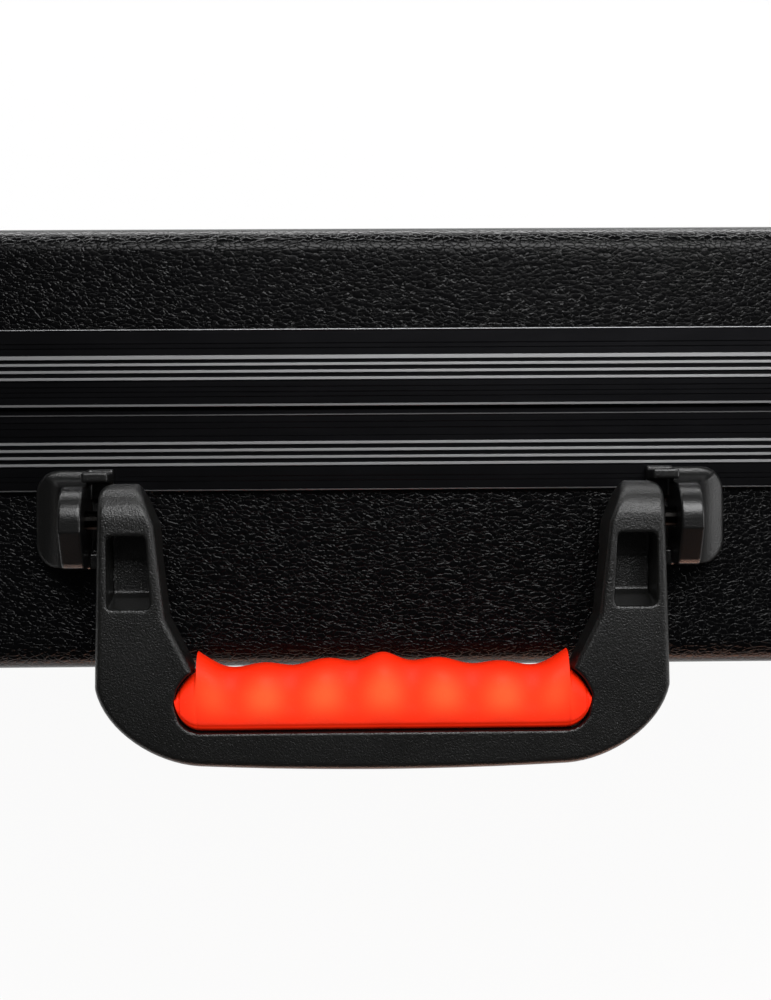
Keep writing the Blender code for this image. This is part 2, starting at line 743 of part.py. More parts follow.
def ear_side_outline():
    """The bracket's ear from the side: a hollow flare, a round nose over the pin and a ramp."""
    rim_edge = -RIM_REACH - 0.5 * MM
    over_rim = PLATE_FACE + LIP_HEIGHT + SEAT
    centre = (-PIVOT_DROP, PIVOT_RISE)
    nose = arc(centre, EAR_RADIUS, 0, 90, 6)
    flare_foot = (-BRACKET_TOP, over_rim + 2.2 * MM)
    flare = bezier(
        flare_foot,
        (-BRACKET_TOP - 3.6 * MM, flare_foot[1] + 0.8 * MM),
        (nose[0][0], flare_foot[1] + 3 * MM),
        nose[0],
        6,
    )
    top = PIVOT_RISE + EAR_RADIUS
    return above_wall(
        [(-BRACKET_TOP, over_rim)]
        + flare
        + nose[1:]
        + [
            (-PIVOT_DROP - 3 * MM, top),
            (-BRACKET_FOOT + 1.6 * MM, top - 5 * MM),
            (-BRACKET_FOOT + 0.5 * MM, top - 6 * MM),
            (-BRACKET_FOOT, top - 8 * MM),
            (-BRACKET_FOOT, SEAT),
            (rim_edge, SEAT),
            (rim_edge, over_rim),
        ]
    )


def ear_flare_outline():
    """The right ear seen along Y, as Z and X: straight inside and flared outside."""
    wall = FRONT_WALL_Z
    curve = bezier(
        (wall + PIVOT_RISE, EAR_OUTER),
        (wall + 0.55 * PIVOT_RISE, EAR_OUTER + 0.3 * MM),
        (wall + PAD_THICKNESS + 3 * MM, BRACKET_OUTER - 3 * MM),
        (wall + PAD_THICKNESS + 1 * MM, BRACKET_OUTER),
        6,
    )
    outline = [(wall - 2 * MM, EAR_INNER), (wall + 40 * MM, EAR_INNER), (wall + 40 * MM, EAR_OUTER)]
    return outline + curve + [(wall - 2 * MM, BRACKET_OUTER)]


def handle_bracket(name):
    """The right bracket: a foot on the wall and rim, a single flared ear and a stop for the arm."""
    inner = HANDLE_HALF_WIDTH - BRACKET_INNER_REACH
    made = prism(name, bracket_pad_outline(), ALONG_X, inner, EAR_INNER + 1 * MM)
    lug_inner = HANDLE_HALF_WIDTH - 1.8 * MM
    beside_lug = block(
        "open_rim",
        (inner - 1 * MM, -RIM_REACH - 3.1 * MM, FRONT_WALL_Z - 1 * MM),
        (lug_inner, 0, FRONT_WALL_Z + STOP_HEIGHT),
    )
    combine(made, beside_lug)
    ear = prism("ear", ear_side_outline(), ALONG_X, EAR_INNER, BRACKET_OUTER + 2 * MM)
    flare = prism("ear_flare", ear_flare_outline(), ALONG_Y, -2 * BRACKET_FOOT, 0)
    combine(ear, flare, "INTERSECT")
    footprint = rounded_rectangle((inner, -BRACKET_FOOT), (BRACKET_OUTER, -BRACKET_TOP), 7 * MM, 5)
    trim = prism("footprint", footprint, ALONG_Z, FRONT_WALL_Z - 2 * MM, FRONT_WALL_Z + 40 * MM)
    combine(ear, trim, "INTERSECT")
    bevel(ear, 0.8 * MM, 2, 35)
    combine(made, ear, "UNION")

    stop_back = -PIVOT_DROP + KNUCKLE_RADIUS + SEAT
    over_rim = PLATE_FACE + LIP_HEIGHT + SEAT
    stop = block(
        "stop_lug",
        (lug_inner, stop_back, FRONT_WALL_Z + over_rim + 1 * MM),
        (EAR_INNER + 1 * MM, stop_back + 2.7 * MM, FRONT_WALL_Z + STOP_HEIGHT),
    )
    combine(made, stop, "UNION")
    ends = (EAR_INNER - 1 * MM, EAR_OUTER - 1.6 * MM)
    combine(made, rod("ear_socket", PIN_RADIUS + PIN_PLAY, *ends, PIVOT.yz))
    for drop in (UPPER_SCREW_DROP, LOWER_SCREW_DROP):
        hole = rod(
            "screw_socket",
            SCREW_RADIUS + SEAT,
            FRONT_WALL_Z - 1 * MM,
            FRONT_WALL_Z + SCREW_REACH + SEAT,
            (SCREW_X, -drop),
            ALONG_Z,
            16,
        )
        combine(made, hole)
    return made


def mirrored(name, source):
    """The mirror image of a piece, across the middle of the case."""
    mesh = mesh_of(source)
    mesh.transform(Matrix.Scale(-1, 4, (1, 0, 0)))
    mesh.flip_normals()
    return add_object(name, mesh)


def handle_screw(name, side, drop):
    """A pan-head screw from inside the base, through backing plate and wall, into the bracket."""
    head_face = -SHELL_WALL - SEAT - BACKING_THICKNESS - SEAT
    profile = [
        (0, SCREW_REACH),
        (SCREW_RADIUS * 0.7, SCREW_REACH),
        (SCREW_RADIUS, SCREW_REACH - 1 * MM),
        (SCREW_RADIUS, head_face),
        (SCREW_HEAD_RADIUS, head_face),
        (SCREW_HEAD_RADIUS, head_face - 0.5 * SCREW_HEAD_HEIGHT),
        (SCREW_HEAD_RADIUS * 0.7, head_face - SCREW_HEAD_HEIGHT),
        (0, head_face - SCREW_HEAD_HEIGHT),
    ]
    place = Matrix.Translation((side * SCREW_X, -drop, FRONT_WALL_Z))
    return turned(name, profile, place, 12)


def backing_plate(name, side):
    """A steel plate inside the base that spreads the handle's pull over the plastic wall."""
    half = 8 * MM
    low = (side * SCREW_X - half, -LOWER_SCREW_DROP - 5 * MM)
    high = (side * SCREW_X + half, -UPPER_SCREW_DROP + 5 * MM)
    face = FRONT_WALL_Z - SHELL_WALL - SEAT
    outline = rounded_rectangle(low, high, 3 * MM, 3)
    made = prism(name, outline, ALONG_Z, face - BACKING_THICKNESS, face)
    for drop in (UPPER_SCREW_DROP, LOWER_SCREW_DROP):
        centre = (side * SCREW_X, -drop)
        hole = rod("plate_hole", SCREW_RADIUS + SEAT, face - 5 * MM, face + 5 * MM, centre, ALONG_Z, 16)
        combine(made, hole)
    return made


def make_handle_mounts(parent):
    """Brackets, pins, screws and backing plates on the base."""
    right = handle_bracket("handle_bracket_right")
    left = mirrored("handle_bracket_left", right)
    finish_piece(right, BRACKET_PLASTIC, parent)
    finish_piece(left, BRACKET_PLASTIC, parent)
    for side, word in ((-1, "left"), (1, "right")):
        inner_end = side * (HANDLE_HALF_WIDTH - PIN_SOCKET + 0.5 * MM)
        outer_end = side * (EAR_OUTER - 2.1 * MM)
        ends = sorted((inner_end, outer_end))
        pin = rod(f"handle_pin_{word}", PIN_RADIUS, *ends, PIVOT.yz)
        finish_piece(pin, STEEL, parent)
        finish_piece(backing_plate(f"handle_backing_plate_{word}", side), STEEL, parent)
        for place, drop in (("upper", UPPER_SCREW_DROP), ("lower", LOWER_SCREW_DROP)):
            finish_piece(handle_screw(f"handle_screw_{word}_{place}", side, drop), STEEL, parent)


def lever_axis(side):
    """The axis that the latch's lever turns on."""
    return Vector((side * LATCH_X, -LEVER_AXIS_DROP, FRONT_WALL_Z + LEVER_AXIS_RISE))


def link_axis(side):
    """The axis on the lever that carries the link."""
    return lever_axis(side) + Vector((0, -LINK_AXIS_OFFSET, -LINK_AXIS_SINK))


def eye_outline(centre, radius, foot_low, foot_high, foot_rise):
    """A round eye on a foot: the side of an ear, as (Y, rise) pairs."""
    return [(foot_low, foot_rise)] + [(foot_high, foot_rise)] + arc(centre, radius, 0, 180, 10)


def latch_plate(name, side):
    """The latch's pressed base: a plate over the rim, a tray on the wall and two ears."""
    middle = side * LATCH_X
    half = LATCH_PLATE_WIDTH / 2
    rim_edge = -RIM_REACH - 0.6 * MM
    face = rounded_rectangle(
        (middle - half, -LATCH_PLATE_FOOT), (middle + half, -LATCH_PLATE_TOP), 3 * MM, 4
    )
    made = prism(name, face, ALONG_Z, FRONT_WALL_Z + LATCH_FLOOR, FRONT_WALL_Z + LATCH_TOP)
    inset = 0.05 * MM
    tray_face = rounded_rectangle(
        (middle - half + inset, -LATCH_PLATE_FOOT + inset), (middle + half - inset, rim_edge), 3 * MM, 4
    )
    tray = prism("latch_tray", tray_face, ALONG_Z, FRONT_WALL_Z + SEAT, FRONT_WALL_Z + LATCH_TOP - inset)
    combine(made, tray, "UNION")
    hollow = block(
        "tray_hollow",
        (middle - half + LATCH_SHEET, -LATCH_PLATE_FOOT + LATCH_SHEET, FRONT_WALL_Z - 1 * MM),
        (middle + half - LATCH_SHEET, rim_edge - LATCH_SHEET, FRONT_WALL_Z + LATCH_FLOOR),
    )
    combine(made, hollow)
    radius = LEVER_PIN_RADIUS + 1.9 * MM
    centre = (-LEVER_AXIS_DROP, LEVER_AXIS_RISE)
    foot = (centre[0] - radius - 1.4 * MM, centre[0] + radius + 1.4 * MM)
    outline = above_wall(eye_outline(centre, radius, *foot, LATCH_TOP - 0.5 * MM))
    for hand in (-1, 1):
        inner = LEVER_WIDTH / 2 + SEAT
        ends = sorted((middle + hand * inner, middle + hand * (inner + LATCH_SHEET)))
        combine(made, prism("latch_ear", outline, ALONG_X, *ends), "UNION")
    bore = rod("lever_bore", LEVER_PIN_RADIUS + PIN_PLAY, middle - half, middle + half, lever_axis(side).yz)
    combine(made, bore)
    return made


def latch_lever(name, side):
    """The latch's lever: a channel with a rounded nose on its axis and a lifted lip to pull."""
    middle = side * LATCH_X
    half = LEVER_WIDTH / 2
    axis = (-LEVER_AXIS_DROP, LEVER_AXIS_RISE)
    top = LEVER_AXIS_RISE + LEVER_NOSE
    tip = axis[0] - LEVER_LENGTH
    outline = arc(axis, LEVER_NOSE, 90, -90, 8)
    outline += [
        (axis[0] - LINK_AXIS_OFFSET - 4 * MM, LEVER_AXIS_RISE - LEVER_NOSE),
        (tip + 9 * MM, top - LATCH_SHEET - 1.5 * MM),
        (tip + 4 * MM, top - LATCH_SHEET),
        (tip + 1 * MM, top - LATCH_SHEET + 1 * MM),
        (tip, top + 1.6 * MM),
        (tip + 1.1 * MM, top + 2 * MM),
        (tip + 4 * MM, top),
    ]
    made = prism(name, above_wall(outline), ALONG_X, middle - half, middle + half)
    hollow = block(
        "lever_hollow",
        (middle - half + LATCH_SHEET, tip - 5 * MM, FRONT_WALL_Z),
        (middle + half - LATCH_SHEET, axis[0] + 10 * MM, FRONT_WALL_Z + top - LATCH_SHEET),
    )
    combine(made, hollow)
    for radius, centre in ((LEVER_PIN_RADIUS, lever_axis(side)), (LINK_PIN_RADIUS, link_axis(side))):
        bore = rod("lever_bore", radius + PIN_PLAY, middle - half - 1 * MM, middle + half + 1 * MM, centre.yz)
        combine(made, bore)
    return made


def link_half_width():
    """Half the width over the link's two arms, which pass outside the ears."""
    return LEVER_WIDTH / 2 + 2 * LATCH_SHEET + 2 * SEAT + 0.3 * MM


def latch_link(name, side):
    """The latch's link: two arms outside the ears, joined by a hook that drops behind the ridge."""
    middle = side * LATCH_X
    half = link_half_width()
    eye = (-LEVER_AXIS_DROP - LINK_AXIS_OFFSET, LEVER_AXIS_RISE - LINK_AXIS_SINK)
    radius = LINK_PIN_RADIUS + 1.4 * MM
    lip_y = CATCH_RIDGE + LATCH_SHEET + 0.4 * MM + SEAT
    underside = LATCH_TOP + CATCH_RIDGE_HEIGHT + SEAT
    top = underside + LATCH_SHEET
    start = 50
    outline = arc(eye, radius, start, 360 - start, 12)
    outline += [
        (eye[0] + radius + 1 * MM, eye[1] - 0.8 * MM),
        (CATCH_RIDGE - 5.5 * MM, eye[1] - 0.8 * MM),
        (CATCH_RIDGE - 4.5 * MM, underside),
        (lip_y, underside),
        (lip_y, LATCH_TOP + 0.8 * MM),
        (lip_y + LATCH_SHEET, LATCH_TOP + 0.8 * MM),
        (lip_y + LATCH_SHEET, top),
    ]
    made = prism(name, above_wall(outline), ALONG_X, middle - half, middle + half)
    arm = LATCH_SHEET + SEAT
    window = block(
        "link_window",
        (middle - half + arm, eye[0] - 10 * MM, FRONT_WALL_Z),
        (middle + half - arm, CATCH_RIDGE - 6 * MM, FRONT_WALL_Z + top + 10 * MM),
    )
    combine(made, window)
    bore = rod("link_bore", LINK_PIN_RADIUS + PIN_PLAY, middle - half - 1 * MM, middle + half + 1 * MM, link_axis(side).yz)
    combine(made, bore)
    return made


def latch_catch(name, side):
    """The lid's half of the latch: a plate on the rim with an upright ridge."""
    middle = side * LATCH_X
    half = CATCH_WIDTH / 2
    face = rounded_rectangle((middle - half, LATCH_PLATE_TOP), (middle + half, CATCH_REACH), 3 * MM, 4)
    made = prism(name, face, ALONG_Z, FRONT_WALL_Z + LATCH_FLOOR, FRONT_WALL_Z + LATCH_TOP)
    ridge_half = link_half_width() - 3.5 * MM
    ridge = block(
        "catch_ridge",
        (middle - ridge_half, CATCH_RIDGE, FRONT_WALL_Z + LATCH_TOP - 0.5 * MM),
        (middle + ridge_half, CATCH_RIDGE + LATCH_SHEET + 0.4 * MM, FRONT_WALL_Z + LATCH_TOP + CATCH_RIDGE_HEIGHT),
    )
    combine(made, ridge, "UNION")
    return made


def make_latch(side, word, root, lid):
    """One draw latch: plate and pin on the base, lever, link and link pin, and the lid's catch."""
    lever_empty = empty(f"latch_lever_axis_{word}", lever_axis(side), root)
    offset = link_axis(side) - lever_axis(side)
    link_empty = empty(f"latch_link_axis_{word}", offset, lever_empty)
    middle = side * LATCH_X
    finish_piece(latch_plate(f"latch_plate_{word}", side), STEEL, root)
    ear_reach = LEVER_WIDTH / 2 + SEAT + LATCH_SHEET
    pin = rod(f"latch_pivot_pin_{word}", LEVER_PIN_RADIUS, middle - ear_reach, middle + ear_reach, lever_axis(side).yz)
    finish_piece(pin, STEEL, root)
    finish_piece(latch_lever(f"latch_lever_{word}", side), STEEL, lever_empty)
    reach = link_half_width()
    link_pin = rod(f"latch_link_pin_{word}", LINK_PIN_RADIUS, middle - reach, middle + reach, link_axis(side).yz)
    finish_piece(link_pin, STEEL, lever_empty)
    finish_piece(latch_link(f"latch_link_{word}", side), STEEL, link_empty)
    finish_piece(latch_catch(f"latch_catch_{word}", side), STEEL, lid)


def hinge_leaf(name, side_x, side_y):
    """A hinge leaf with its share of the knuckles: the odd ones on the base, the even on the lid."""
    middle = side_x * HINGE_X
    low, high = middle - HINGE_LENGTH / 2, middle + HINGE_LENGTH / 2
    inner = HINGE_WALL_Z - RIB_CREST - SEAT
    plate_y = sorted((0, side_y * HINGE_LEAF_REACH))
    made = block(name, (low, plate_y[0], inner - HINGE_LEAF), (high, plate_y[1], inner))
    combine(made, rod("knuckles", HINGE_RADIUS, low, high, HINGE_AXIS.yz), "UNION")
    knuckle = HINGE_LENGTH / HINGE_KNUCKLES
    reach = HINGE_RADIUS + 2 * SEAT
    cut_y = sorted((side_y * reach, -side_y * (reach + 1 * MM)))
    for index in range(HINGE_KNUCKLES):
        is_base = index % 2 == 0
        if is_base == (side_y < 0):
            continue
        start = low + index * knuckle - SEAT
        end = low + (index + 1) * knuckle + SEAT
        gap = block(
            "knuckle_gap",
            (start if index else low - 1 * MM, cut_y[0], HINGE_AXIS.z - reach),
            (end if index < HINGE_KNUCKLES - 1 else high + 1 * MM, cut_y[1], inner + 1 * MM),
        )
        combine(made, gap)
    bore = rod("hinge_bore", HINGE_PIN_RADIUS + PIN_PLAY, low - 5 * MM, high + 5 * MM, HINGE_AXIS.yz)
    combine(made, bore)
    return made


def hinge_pin(name, side):
    """A plain pin with a thin head at both ends."""
    half = HINGE_LENGTH / 2 + SEAT
    head = 0.9 * MM
    profile = [
        (0, half + head),
        (HINGE_PIN_RADIUS, half + head),
        (HINGE_PIN_RADIUS + 0.8 * MM, half + 0.5 * head),
        (HINGE_PIN_RADIUS + 0.8 * MM, half),
        (HINGE_PIN_RADIUS, half),
        (HINGE_PIN_RADIUS, -half),
        (HINGE_PIN_RADIUS + 0.8 * MM, -half),
        (HINGE_PIN_RADIUS + 0.8 * MM, -half - 0.5 * head),
        (HINGE_PIN_RADIUS, -half - head),
        (0, -half - head),
    ]
    place = Matrix.Translation((side * HINGE_X, HINGE_AXIS.y, HINGE_AXIS.z)) @ ALONG_X
    return turned(name, profile, place)


def back_foot(name, side, y):
    """A rubber block under the hinge side, with a chamfered sole."""
    middle = side * BACK_FOOT_X
    rings = []
    for z, inset in ((HINGE_WALL_Z - SEAT, 0), (1 * MM, 0.3 * MM), (0, 1 * MM)):
        half_x = BACK_FOOT_LENGTH / 2 - inset
        half_y = BACK_FOOT_WIDTH / 2 - inset
        outline = rounded_rectangle((middle - half_x, y - half_y), (middle + half_x, y + half_y), 5 * MM, 4)
        rings.append([(a, b, z) for a, b in outline])
    return loft(name, rings)


def face_foot(name, x, z):
    """A round rubber foot on the base's big face, hollowed for its screw."""
    profile = [
        (0, -SEAT),
        (FACE_FOOT_RADIUS, -SEAT),
        (FACE_FOOT_RADIUS, -SEAT - 2 * MM),
        (FACE_FOOT_RADIUS - 1 * MM, -FACE_FOOT_HEIGHT + 0.8 * MM),
        (FACE_FOOT_RADIUS - 1.8 * MM, -FACE_FOOT_HEIGHT),
        (FACE_FOOT_RADIUS * 0.45, -FACE_FOOT_HEIGHT),
        (FACE_FOOT_RADIUS * 0.4, -FACE_FOOT_HEIGHT + 3 * MM),
        (0, -FACE_FOOT_HEIGHT + 3 * MM),
    ]
    towards_base = Matrix.Translation((x, -BASE_HEIGHT, z)) @ Matrix.Rotation(math.radians(-90), 4, "X")
    return turned(name, profile, towards_base, 20)


def foam_block(name, inset, floor, top):
    """A block that fits a shell, chamfered along its floor to clear the shell's rounded edge."""
    chamfer = math.copysign(FOAM_CHAMFER, top - floor)
    rings = []
    for y, extra in ((top, 0), (floor + chamfer, 0), (floor, FOAM_CHAMFER)):
        outline = case_outline(inset + extra, CORNER_RADIUS - inset - extra)
        rings.append([(x, y, z) for x, z in outline])
    return loft(name, rings)


def make_base_foam():
    """The base's foam: a block with a pocket for the processor and one for its power supply."""
    floor = -BASE_HEIGHT + SHELL_WALL + SEAT
    made = foam_block("base_foam", FOAM_INSET, floor, -FOAM_TOP)
    half = CASE_WIDTH / 2 - FOAM_INSET - FOAM_WALL
    bottom = HINGE_WALL_Z + FOAM_INSET + FOAM_WALL
    top = FRONT_WALL_Z - FOAM_INSET - FOAM_WALL
    split = top - ACCESSORY_POCKET
    pockets = (
        ("processor_pocket", bottom, split - POCKET_BRIDGE),
        ("accessory_pocket", split, top),
    )
    for name, low, high in pockets:
        outline = rounded_rectangle((low, -half), (high, half), POCKET_CORNER, 4)
        combine(made, prism(name, outline, ALONG_Y, floor + FOAM_FLOOR, 0))
    notch_z = (bottom + split - POCKET_BRIDGE) / 2
    for side in (-1, 1):
        ends = (floor + 2 * FOAM_FLOOR, 0)
        combine(made, rod("finger_notch", FINGER_NOTCH, *ends, (notch_z, side * half), ALONG_Y))
        screws = block(
            "screw_recess",
            (side * SCREW_X - 10 * MM, -LOWER_SCREW_DROP - 7 * MM, FRONT_WALL_Z - FOAM_INSET - 4 * MM),
            (side * SCREW_X + 10 * MM, -UPPER_SCREW_DROP + 7 * MM, FRONT_WALL_Z),
        )
        combine(made, screws)
    return made


def round_corner(x, z, width, depth, radius):
    """Move a point of a rectangle's square corner onto the rounded corner."""
    centre_x = math.copysign(width / 2 - radius, x)
    centre_z = math.copysign(depth / 2 - radius, z)
    away = Vector((x - centre_x, z - centre_z))
    if abs(x) > abs(centre_x) and abs(z) > abs(centre_z) and away.length > radius:
        away.length = radius
        return centre_x + away.x, centre_z + away.y
    return x, z


def make_lid_foam():
    """The lid's foam: a sheet whose inner side rises and falls in rows of round bumps."""
    width = CASE_WIDTH - 2 * FOAM_INSET
    depth = CASE_DEPTH - 2 * FOAM_INSET
    back = LID_HEIGHT - SHELL_WALL - SEAT
    work = bmesh.new()
    bmesh.ops.create_grid(work, x_segments=4 * BUMP_COLUMNS, y_segments=4 * BUMP_ROWS, size=0.5)
    for vert in work.verts:
        column, row = vert.co.x * BUMP_COLUMNS, vert.co.y * BUMP_ROWS
        wave = math.cos(2 * math.pi * column) * math.cos(2 * math.pi * row)
        bump = LID_FOAM_BUMP * (0.5 + 0.5 * wave)
        x, z = round_corner(vert.co.x * width, vert.co.y * depth, width, depth, CORNER_RADIUS - FOAM_INSET)
        vert.co = (x, back - LID_FOAM_BACKING - bump, MIDDLE_Z + z)
    shrink = 1 - 2 * FOAM_CHAMFER / depth
    for level, scale in ((back - FOAM_CHAMFER, 1), (back, shrink)):
        edges = [edge for edge in work.edges if edge.is_boundary]
        grown = bmesh.ops.extrude_edge_only(work, edges=edges)["geom"]
        for vert in (item for item in grown if isinstance(item, bmesh.types.BMVert)):
            x, z = vert.co.x * scale, MIDDLE_Z + (vert.co.z - MIDDLE_Z) * scale
            vert.co = (x, level, z)
    bmesh.ops.contextual_create(work, geom=[edge for edge in work.edges if edge.is_boundary])
    bmesh.ops.recalc_face_normals(work, faces=work.faces)
    mesh = bpy.data.meshes.new("lid_foam")
    work.to_mesh(mesh)
    work.free()
    return add_object("lid_foam", mesh)


def drill_base_shell(target):
    """Holes in the base's front wall for the handle's screws."""
    for side in (-1, 1):
        for drop in (UPPER_SCREW_DROP, LOWER_SCREW_DROP):
            ends = (FRONT_WALL_Z - 2 * SHELL_WALL, FRONT_WALL_Z + SHELL_WALL)
            centre = (side * SCREW_X, -drop)
            combine(target, rod("wall_hole", SCREW_RADIUS + SEAT, *ends, centre, ALONG_Z, 16))


def make_feet(root, lid):
    """Four feet on the hinge side and four on the base's big face."""
    for side, word in ((-1, "left"), (1, "right")):
        finish_piece(back_foot(f"back_foot_base_{word}", side, -BASE_BACK_FOOT_Y), RUBBER, root)
        finish_piece(back_foot(f"back_foot_lid_{word}", side, LID_BACK_FOOT_Y), RUBBER, lid)
        x = side * (CASE_WIDTH / 2 - FACE_FOOT_INSET)
        for place, z in (("back", HINGE_WALL_Z + FACE_FOOT_INSET), ("front", FRONT_WALL_Z - FACE_FOOT_INSET)):
            finish_piece(face_foot(f"face_foot_{word}_{place}", x, z), RUBBER, root)


def main():
    """Build every piece of the case."""
    case = empty("case_origin", (0, PARTING_Y, 0))
    root = empty("base_origin", (0, 0, 0), case)
    lid = empty("lid_axis", HINGE_AXIS, case)

    base_shell = shell("base_shell", BASE_HEIGHT, -1)
    drill_base_shell(base_shell)
    finish_piece(base_shell, BLACK_PLASTIC, root)
    finish_piece(shell("lid_shell", LID_HEIGHT, 1), BLACK_PLASTIC, lid)
    finish_piece(rim("base_rim", rim_profile(BASE_FIRST_RIB, True), -1), BLACK_ALUMINIUM, root)
    finish_piece(rim("lid_rim", rim_profile(LID_FIRST_RIB, False), 1), BLACK_ALUMINIUM, lid)
    finish_piece(make_base_foam(), FOAM, root)
    finish_piece(make_lid_foam(), FOAM, lid)

    make_handle_mounts(root)
    make_handle(root)
    for side, word in ((-1, "left"), (1, "right")):
        make_latch(side, word, root, lid)
        finish_piece(hinge_leaf(f"hinge_base_leaf_{word}", side, -1), STEEL, root)
        finish_piece(hinge_leaf(f"hinge_lid_leaf_{word}", side, 1), STEEL, lid)
        finish_piece(hinge_pin(f"hinge_pin_{word}", side), STEEL, root)
    make_feet(root, lid)


main()
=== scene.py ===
"""Effects processor case: surfaces, finishes and stage, laid out as a Blender add-on.

The packed model is the fixed frame. Coordinates in the functions below are in metres, with X along
the case's width, Y from the parting line between the two rims (base negative, lid positive) and Z
up from the ground. Every mesh is moved along Y to the frame's own place when it is finished.
"""

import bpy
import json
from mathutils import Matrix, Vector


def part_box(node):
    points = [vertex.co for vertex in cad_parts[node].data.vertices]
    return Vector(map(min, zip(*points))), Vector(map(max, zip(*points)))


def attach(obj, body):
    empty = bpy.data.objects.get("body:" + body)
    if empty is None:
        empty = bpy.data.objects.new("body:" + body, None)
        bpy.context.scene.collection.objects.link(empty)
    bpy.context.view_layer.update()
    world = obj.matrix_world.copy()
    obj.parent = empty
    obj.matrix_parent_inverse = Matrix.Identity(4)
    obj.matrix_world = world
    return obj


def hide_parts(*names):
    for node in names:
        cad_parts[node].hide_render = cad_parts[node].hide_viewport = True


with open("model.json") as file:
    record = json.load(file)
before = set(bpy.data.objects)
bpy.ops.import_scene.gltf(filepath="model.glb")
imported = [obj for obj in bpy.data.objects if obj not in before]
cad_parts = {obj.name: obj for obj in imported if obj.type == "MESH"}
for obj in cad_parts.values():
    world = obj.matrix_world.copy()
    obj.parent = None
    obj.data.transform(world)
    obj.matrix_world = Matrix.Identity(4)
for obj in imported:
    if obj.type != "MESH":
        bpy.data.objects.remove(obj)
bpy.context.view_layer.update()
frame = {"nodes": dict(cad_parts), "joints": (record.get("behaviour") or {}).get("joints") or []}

import json
import math

import bpy
import numpy as np
from bpy.props import FloatProperty, FloatVectorProperty, PointerProperty
from mathutils import Vector

bl_info = {
    "name": "Effects processor case",
    "version": (1, 0, 0),
    "blender": (4, 5, 0),
    "location": "3D View > Sidebar > Case",
    "description": "Dresses the packed effects processor case and sets it on a studio stage",
    "category": "Object",
}

MM = 0.001


def joint(name):
    """A joint of the packed model, by its name."""
    return next(item for item in frame["joints"] if item["name"] == name)


# Places read from the frame
PARTING_Y = joint("lid_hinge")["pos_m"][1]
SHELL_LOW, SHELL_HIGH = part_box("base_shell")
HALF_WIDTH = SHELL_HIGH.x
HINGE_WALL_Z = SHELL_LOW.z
FRONT_WALL_Z = SHELL_HIGH.z
MIDDLE_Z = (HINGE_WALL_Z + FRONT_WALL_Z) / 2
FIELD_RISE = 2 * MM
BASE_HEIGHT = PARTING_Y - SHELL_LOW.y - FIELD_RISE
LID_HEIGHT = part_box("lid_shell")[1].y - PARTING_Y - FIELD_RISE
RIB_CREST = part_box("base_rim")[1].z - FRONT_WALL_Z
PIVOT_Y = joint("handle_hinge")["pos_m"][1] - PARTING_Y
PIVOT_RISE = joint("handle_hinge")["pos_m"][2] - FRONT_WALL_Z

# Sizes of the case body
SHELL_WALL = 3 * MM
SHELL_MOUTH = 6.4 * MM
CORNER_RADIUS = 34 * MM
EDGE_RADIUS = 7 * MM
FIELD_INSET = 36 * MM
FIELD_SLOPE = 3 * MM
FIELD_RADIUS = 20 * MM
SEAT = 0.3 * MM

# Sizes of the rims
PLATE_FACE = 1.9 * MM
RIM_REACH = 21.9 * MM
RIM_EDGE = 1.3 * MM
WEB_LEVEL = 4.5 * MM
WEB_THICKNESS = 1.6 * MM
FLANGE_INNER = 4.9 * MM
FLANGE_REACH = 14 * MM
TONGUE_WIDTH = 1.2 * MM
RIB_COUNT = 4
RIB_PITCH = 1.93 * MM
RIB_HALF = 0.42 * MM
RIB_FLANK = 0.12 * MM
RIB_SHOULDER = 0.1 * MM
LIP_HEIGHT = 0.2 * MM
LIP_WIDTH = 0.4 * MM
LINE_HALF = 0.14 * MM
LINE_DEPTH = 0.1 * MM

# What each rim has of its own; the bright values of the lips are a painted highlight in the crests'
# bright cut colour
BASE_RIM = {
    "reach": RIM_REACH + 0.3 * MM, "first_rib": 9.26 * MM, "last_rib_half": RIB_HALF,
    "inner_edge": RIM_EDGE, "inner_lip": LIP_WIDTH, "outer_lip_painted_highlight": 1.0, "inner_lip_painted_highlight": 0.45,
    "outer_lines": (19.6 * MM, 18.3 * MM), "inner_lines": (7.3 * MM, 5.2 * MM, 3.6 * MM),
    "has_tongue": True,
}
LID_RIM = {
    "reach": RIM_REACH, "first_rib": 8.3 * MM, "last_rib_half": 0.58 * MM,
    "inner_edge": RIM_EDGE - 0.62 * MM, "inner_lip": 0.75 * MM, "outer_lip_painted_highlight": 0.6, "inner_lip_painted_highlight": 0.7,
    "outer_lines": (17.9 * MM, 16.6 * MM), "inner_lines": (6.1 * MM, 4.7 * MM, 3.4 * MM),
    "has_tongue": False,
}

# Sizes of the handle and its brackets
HANDLE_HALF_WIDTH = 74.2 * MM
KNUCKLE_RADIUS = 9.8 * MM
ARM_THICKNESS = 14.8 * MM
ARM_FRONT = PIVOT_RISE + KNUCKLE_RADIUS
ARM_BACK = ARM_FRONT - ARM_THICKNESS
ARM_MIDDLE = (ARM_FRONT + ARM_BACK) / 2
ARM_TOP_WIDTH = 10.6 * MM
ARM_WIDTH = 14.8 * MM
ARM_FOOT_WIDTH = 17.6 * MM
HANDLE_DROP = 95.6 * MM
HANDLE_CORNER = 27 * MM
BAR_HEIGHT = 11.2 * MM
GRIP_HALF_WIDTH = 54.5 * MM
GRIP_HEIGHT = 16 * MM
GRIP_HORN_X = 48.7 * MM
GRIP_HORN_RISE = 3.4 * MM
GRIP_END_ROUND = 7 * MM
GRIP_THICKNESS = 15.2 * MM
GRIP_FLOOR = HANDLE_DROP - BAR_HEIGHT
WEB_HALF = 2.5 * MM
FACE_LEAN = 2.2 * MM
FINGER_PITCH = 15.6 * MM
GRIP_SWELL = 0.35 * MM
POCKET_WIDTH = 10.2 * MM
POCKET_TAPER = 1.1 * MM
POCKET_LENGTH = 19.6 * MM
POCKET_OFFSET = 3.7 * MM
POCKET_DEPTH = 13.3 * MM
POCKET_INSET = 2.4 * MM
EAR_INNER = 78.4 * MM
EAR_OUTER = 84.6 * MM
